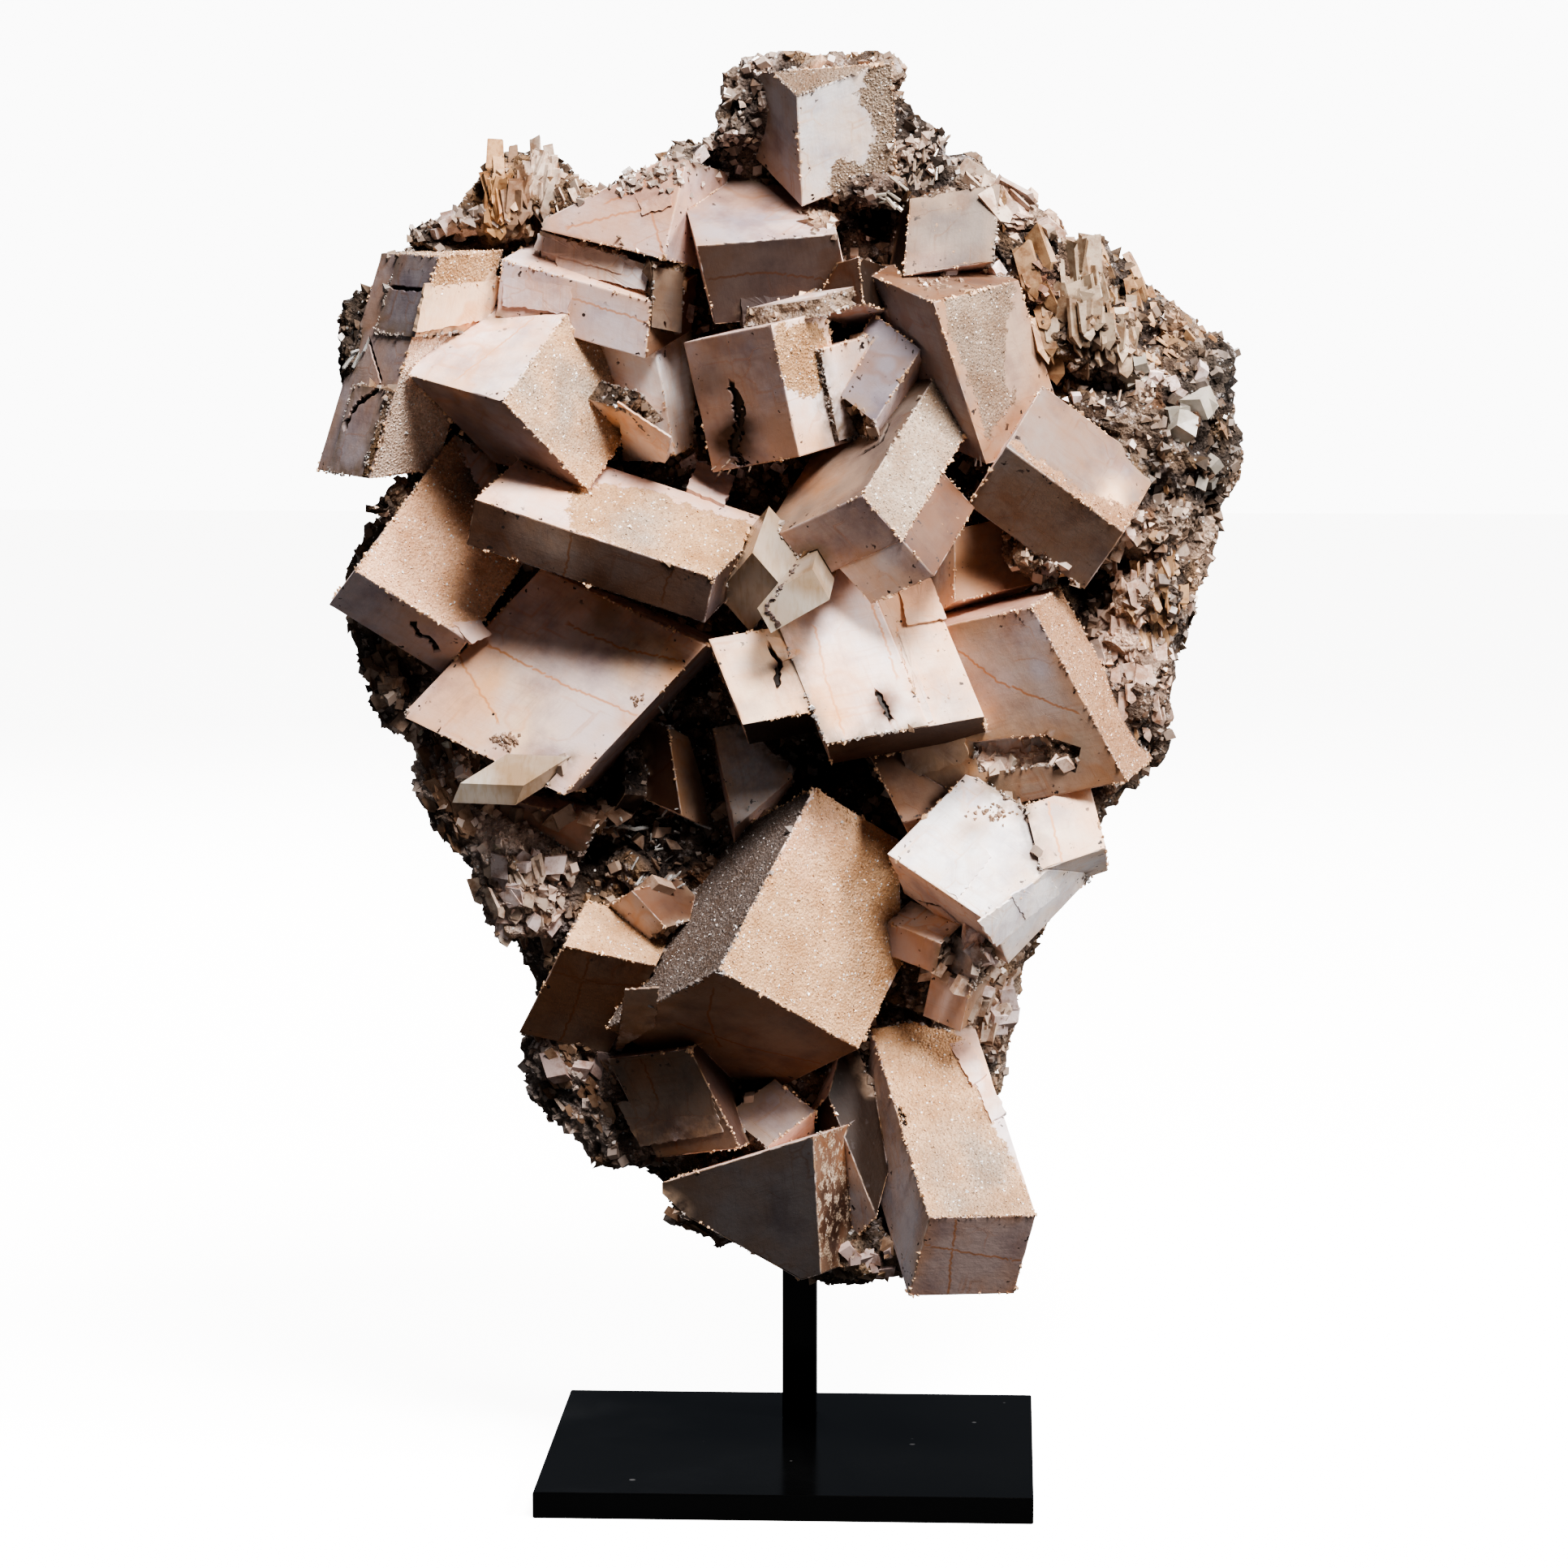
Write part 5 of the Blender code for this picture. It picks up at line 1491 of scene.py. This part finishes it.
def bedded(beds, dice, spread_of_turn, rock_alone):
    """Spots on the cluster for the pieces of each bed, with axes, lengths and colours."""
    rows = []
    for middle, reach, count, length, heading, tint in beds:
        for _ in range(count):
            point = (dice.normal(middle[0], reach[0]), dice.normal(middle[1], reach[1]))
            spot, facing, index, _ = cluster_tree.ray_cast(EYE, sight(point))
            if index is None or (rock_alone and crystal_triangle[index]
                                 and group_area[triangle_group[index]] > OPEN_FACE):
                continue
            up = facing if heading is None else ACROSS * heading[0] - UPWARD * heading[1]
            up = up - LOOK if beds is BLOCK_BEDS else up
            up = np.array(up.normalized()) + dice.normal(0.0, spread_of_turn, 3)
            rows.append((tuple(spot), up, length * MM * min(dice.lognormal(0.0, LENGTH_SPREAD), LONGEST),
                         np.array(tint) * dice.uniform(*BED_TONES)))
    spots, ups, lengths, tints = (np.array(column) for column in zip(*rows))
    ups = unit(ups)
    axes = leaning(ups, dice, 0.02)
    if beds is BLADE_BEDS:
        wide = unit(np.cross(ups, -np.array(LOOK) + dice.normal(0.0, BLADE_TURN, ups.shape)))
        axes = np.stack([wide, np.cross(ups, wide), ups], axis=1)
    return spots, axes, lengths[:, None], tints


def ring_shape(sides, wide, thick, shoulder, tip):
    """A crystal of flat sides with a blunt point: its own ring of points, a shoulder and a tip."""
    turns = [math.tau * (side + 0.5) / sides for side in range(sides)]
    points = [(wide * math.cos(turn), thick * math.sin(turn), -0.5) for turn in turns]
    points += [(wide * math.cos(turn), thick * math.sin(turn), shoulder) for turn in turns]
    points.append((0.0, 0.0, tip))
    faces = []
    for side in range(sides):
        after = (side + 1) % sides
        faces += [(side, after, sides + after), (side, sides + after, sides + side),
                  (sides + side, sides + after, 2 * sides)]
    return points, faces


for name, shape, beds, look, turn, ragged in (
        ("rock_blades", ring_shape(4, 0.27, 0.07, 0.22, 0.42), BLADE_BEDS, block_look, 0.13, 0.12),
        ("quartz_needles", ring_shape(6, 0.07, 0.07, 0.38, 0.5), NEEDLE_BEDS, quartz_look, 0.3, 0.0),
        ("crumb_clumps", CHUNK, CLUMP_BEDS, sugar_look, 0.8, 0.2),
        ("pocket_blocks", BLOCK, BLOCK_BEDS, block_look, 0.25, 0.05),
        ("clear_rhombs", RHOMB, CLEAR_BEDS, quartz_look, 0.6, 0.02)):
    spots, axes, lengths, tints = bedded(beds, dice, turn, name in ("rock_blades", "pocket_blocks"))
    strewn(name, shape, spots, axes, lengths * (BLOCK_HALF if shape is BLOCK else 1.0), tints, look, ragged)


# The calcites: pale cream rhombs, waxy and half clear, grown in pockets of the cluster. Their
# solids are kept, with their edges eased.
CALCITE_VEIL = (0.69, 0.60, 0.515)
CALCITE_MIST = (0.60, 0.475, 0.37)
CALCITE = (0.50, 0.35, 0.225)
CALCITE_SHADE = (0.84, 0.78, 0.68)
CALCITE_BEND = 1.55
CALCITE_FIBRES = (520.0, 60.0, 120.0)
CALCITE_EASING = 0.25 * MM


def kept(name, look, easing, segments):
    """Keep a solid of the frame, with a new material and eased edges."""
    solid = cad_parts[name]
    solid.data.materials.clear()
    solid.data.materials.append(look)
    eased_edges = solid.modifiers.new("eased edges", "BEVEL")
    eased_edges.width = easing
    eased_edges.segments = segments


calcite_look, tree, shader = new_look("calcite")
where = object_place(tree)
colour = mixed(tree, patches(tree, where, 45.0, 0.40, 0.62, 4.0), CALCITE, CALCITE_MIST)
colour = mixed(tree, patches(tree, where, 24.0, 0.46, 0.60, 2.0), colour, CALCITE_VEIL)
fibres = vector_sum(tree, "MULTIPLY", where, CALCITE_FIBRES)
streaky = patches(tree, fibres, 1.0, 0.48, 0.62, 3.0, 0.6, 0.0, 0.6)
colour = mixed(tree, streaky, colour, dyed(tree, colour, CALCITE_SHADE))
specks = effect(tree, speck_group, Scale=260.0, Amount=0.2)["Mask"]
joined(tree, shader, {"Base Color": mixed(tree, specks, colour, BROWN), "Roughness": 0.24,
                      "Transmission Weight": 0.4, "IOR": CALCITE_BEND,
                      "Normal": bumped(tree, 0.25, 0.3 * MM, cloud(tree, where, 260.0, 4.0))})
for name in ("calcite_centre", "calcite_left"):
    kept(name, calcite_look, CALCITE_EASING, 2)

# Brown crumbs of dolomite cling along one edge of each calcite: its route on the sheet, how
# many crumbs and their colour
CRUMB_SIZE = 0.6 * MM
CRUMB_STRAY = 1.3
CRUMB_LINES = (
    ("calcite_centre", ((985, 693), (962, 724), (943, 749), (959, 769)), 90, DARK_BROWN),
    ("calcite_left", ((606, 992), (650, 996), (676, 974)), 40, BROWN),
)
dice = np.random.default_rng(41)
rows = []
for name, route, count, tint in CRUMB_LINES:
    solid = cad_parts[name]
    corners = [solid.matrix_world @ corner.co for corner in solid.data.vertices]
    crystal_tree = BVHTree.FromPolygons(corners, [tuple(side.vertices) for side in solid.data.polygons])
    for along in np.sort(dice.random(count)) * (len(route) - 1):
        start, after = route[int(along)], route[int(along) + 1]
        share = along - int(along)
        point = [one + (other - one) * share + dice.normal(0.0, CRUMB_STRAY)
                 for one, other in zip(start, after)]
        spot, facing, _, _ = crystal_tree.ray_cast(EYE, sight(point))
        if spot is not None:
            rows.append((tuple(spot), tuple(facing), CRUMB_SIZE * dice.lognormal(0.0, 0.4), tint))
spots, facings, sizes, tints = (np.array(column) for column in zip(*rows))
strewn("calcite_crumbs", CHUNK, spots, leaning(facings, dice, 0.5), sizes[:, None], tints, sugar_look, 0.2)


# The stand: a black square post in a black plate, steel sprayed with gloss paint, with a
# little dust on top. Both solids are kept, their edges eased.
STAND_BLACK = (0.004, 0.004, 0.004)
DUST = (0.30, 0.29, 0.28)

STAND_EASING = 0.4 * MM

stand_look, tree, shader = new_look("gloss_black")
dust = times(tree, effect(tree, speck_group, Scale=90.0, Amount=0.10)["Mask"], 0.3)
dull = eased(tree, patches(tree, object_place(tree), 9.0, 0.45, 0.75, 5.0), 0.0, 1.0, 0.10, 0.20)
joined(tree, shader, {"Base Color": mixed(tree, dust, STAND_BLACK, DUST), "Roughness": dull,
                      "Specular IOR Level": 0.35})
for name in ("stand_post", "stand_base"):
    kept(name, stand_look, STAND_EASING, 3)


# The room: a wide pale floor under a white sky, a strong soft light high to the right of the
# front, a weaker one lower and further right, and a third behind on the left. Only the camera
# sees floor and sky bright, so that they throw little light up into the hollows.
FLOOR_HALF = 6.0
FLOOR_SEEN = (0.93, 0.92, 0.91)
FLOOR_THROWN = (0.10, 0.10, 0.10)
FLOOR_GLOW = 3.2
SKY_SEEN = 3.4
SKY_THROWN = 0.085
SKY_COOL = (0.84, 0.93, 1.08)

floor_mesh = bpy.data.meshes.new("floor")
floor_corners = [(x * FLOOR_HALF, y * FLOOR_HALF, 0.0) for x, y in ((-1, -1), (1, -1), (1, 1), (-1, 1))]
floor_mesh.from_pydata(floor_corners, [], [(0, 1, 2, 3)])
floor = bpy.data.objects.new("floor", floor_mesh)
bpy.context.scene.collection.objects.link(floor)
floor_look, tree, shader = new_look("floor")
seen = node(tree, "LightPath", {}).outputs["Is Camera Ray"]
joined(tree, shader, {"Base Color": mixed(tree, seen, FLOOR_THROWN, FLOOR_SEEN), "Roughness": 0.7,
                      "Specular IOR Level": 0.0, "Emission Color": rgba(FLOOR_SEEN),
                      "Emission Strength": times(tree, seen, FLOOR_GLOW)})
floor_mesh.materials.append(floor_look)

AIM = Vector((0.0, 0.0, 0.30))


def soft_light(name, place, size, power):
    """A soft white light that points at the specimen."""
    data = bpy.data.lights.new(name, "AREA")
    data.shape = "RECTANGLE"
    data.size, data.size_y = size
    data.energy = power
    light = bpy.data.objects.new(name, data)
    bpy.context.scene.collection.objects.link(light)
    light.location = place
    light.rotation_euler = (AIM - Vector(place)).to_track_quat("-Z", "Y").to_euler()


def from_side(turn, height, reach):
    """A place in the room by its turn to the right of the front, its height angle and reach."""
    turn, height = math.radians(turn), math.radians(height)
    return AIM + Vector((math.sin(turn) * math.cos(height), -math.cos(turn) * math.cos(height),
                         math.sin(height))) * reach


soft_light("key", from_side(24, 52, 1.9), (0.6, 0.6), 64.0)
soft_light("side", from_side(68, 27, 2.0), (0.5, 0.8), 40.0)
soft_light("back", from_side(200, 30, 2.2), (0.8, 0.8), 30.0)

world = bpy.data.worlds.new("room")
world.use_nodes = True
tree = world.node_tree
seen = node(tree, "LightPath", {}).outputs["Is Camera Ray"]
joined(tree, tree.nodes["Background"], {"Color": mixed(tree, seen, SKY_COOL, (1.0, 1.0, 1.0)),
                                        "Strength": eased(tree, seen, 0.0, 1.0, SKY_THROWN, SKY_SEEN)})
bpy.context.scene.world = world
bpy.context.scene.view_settings.look = "AgX - High Contrast"
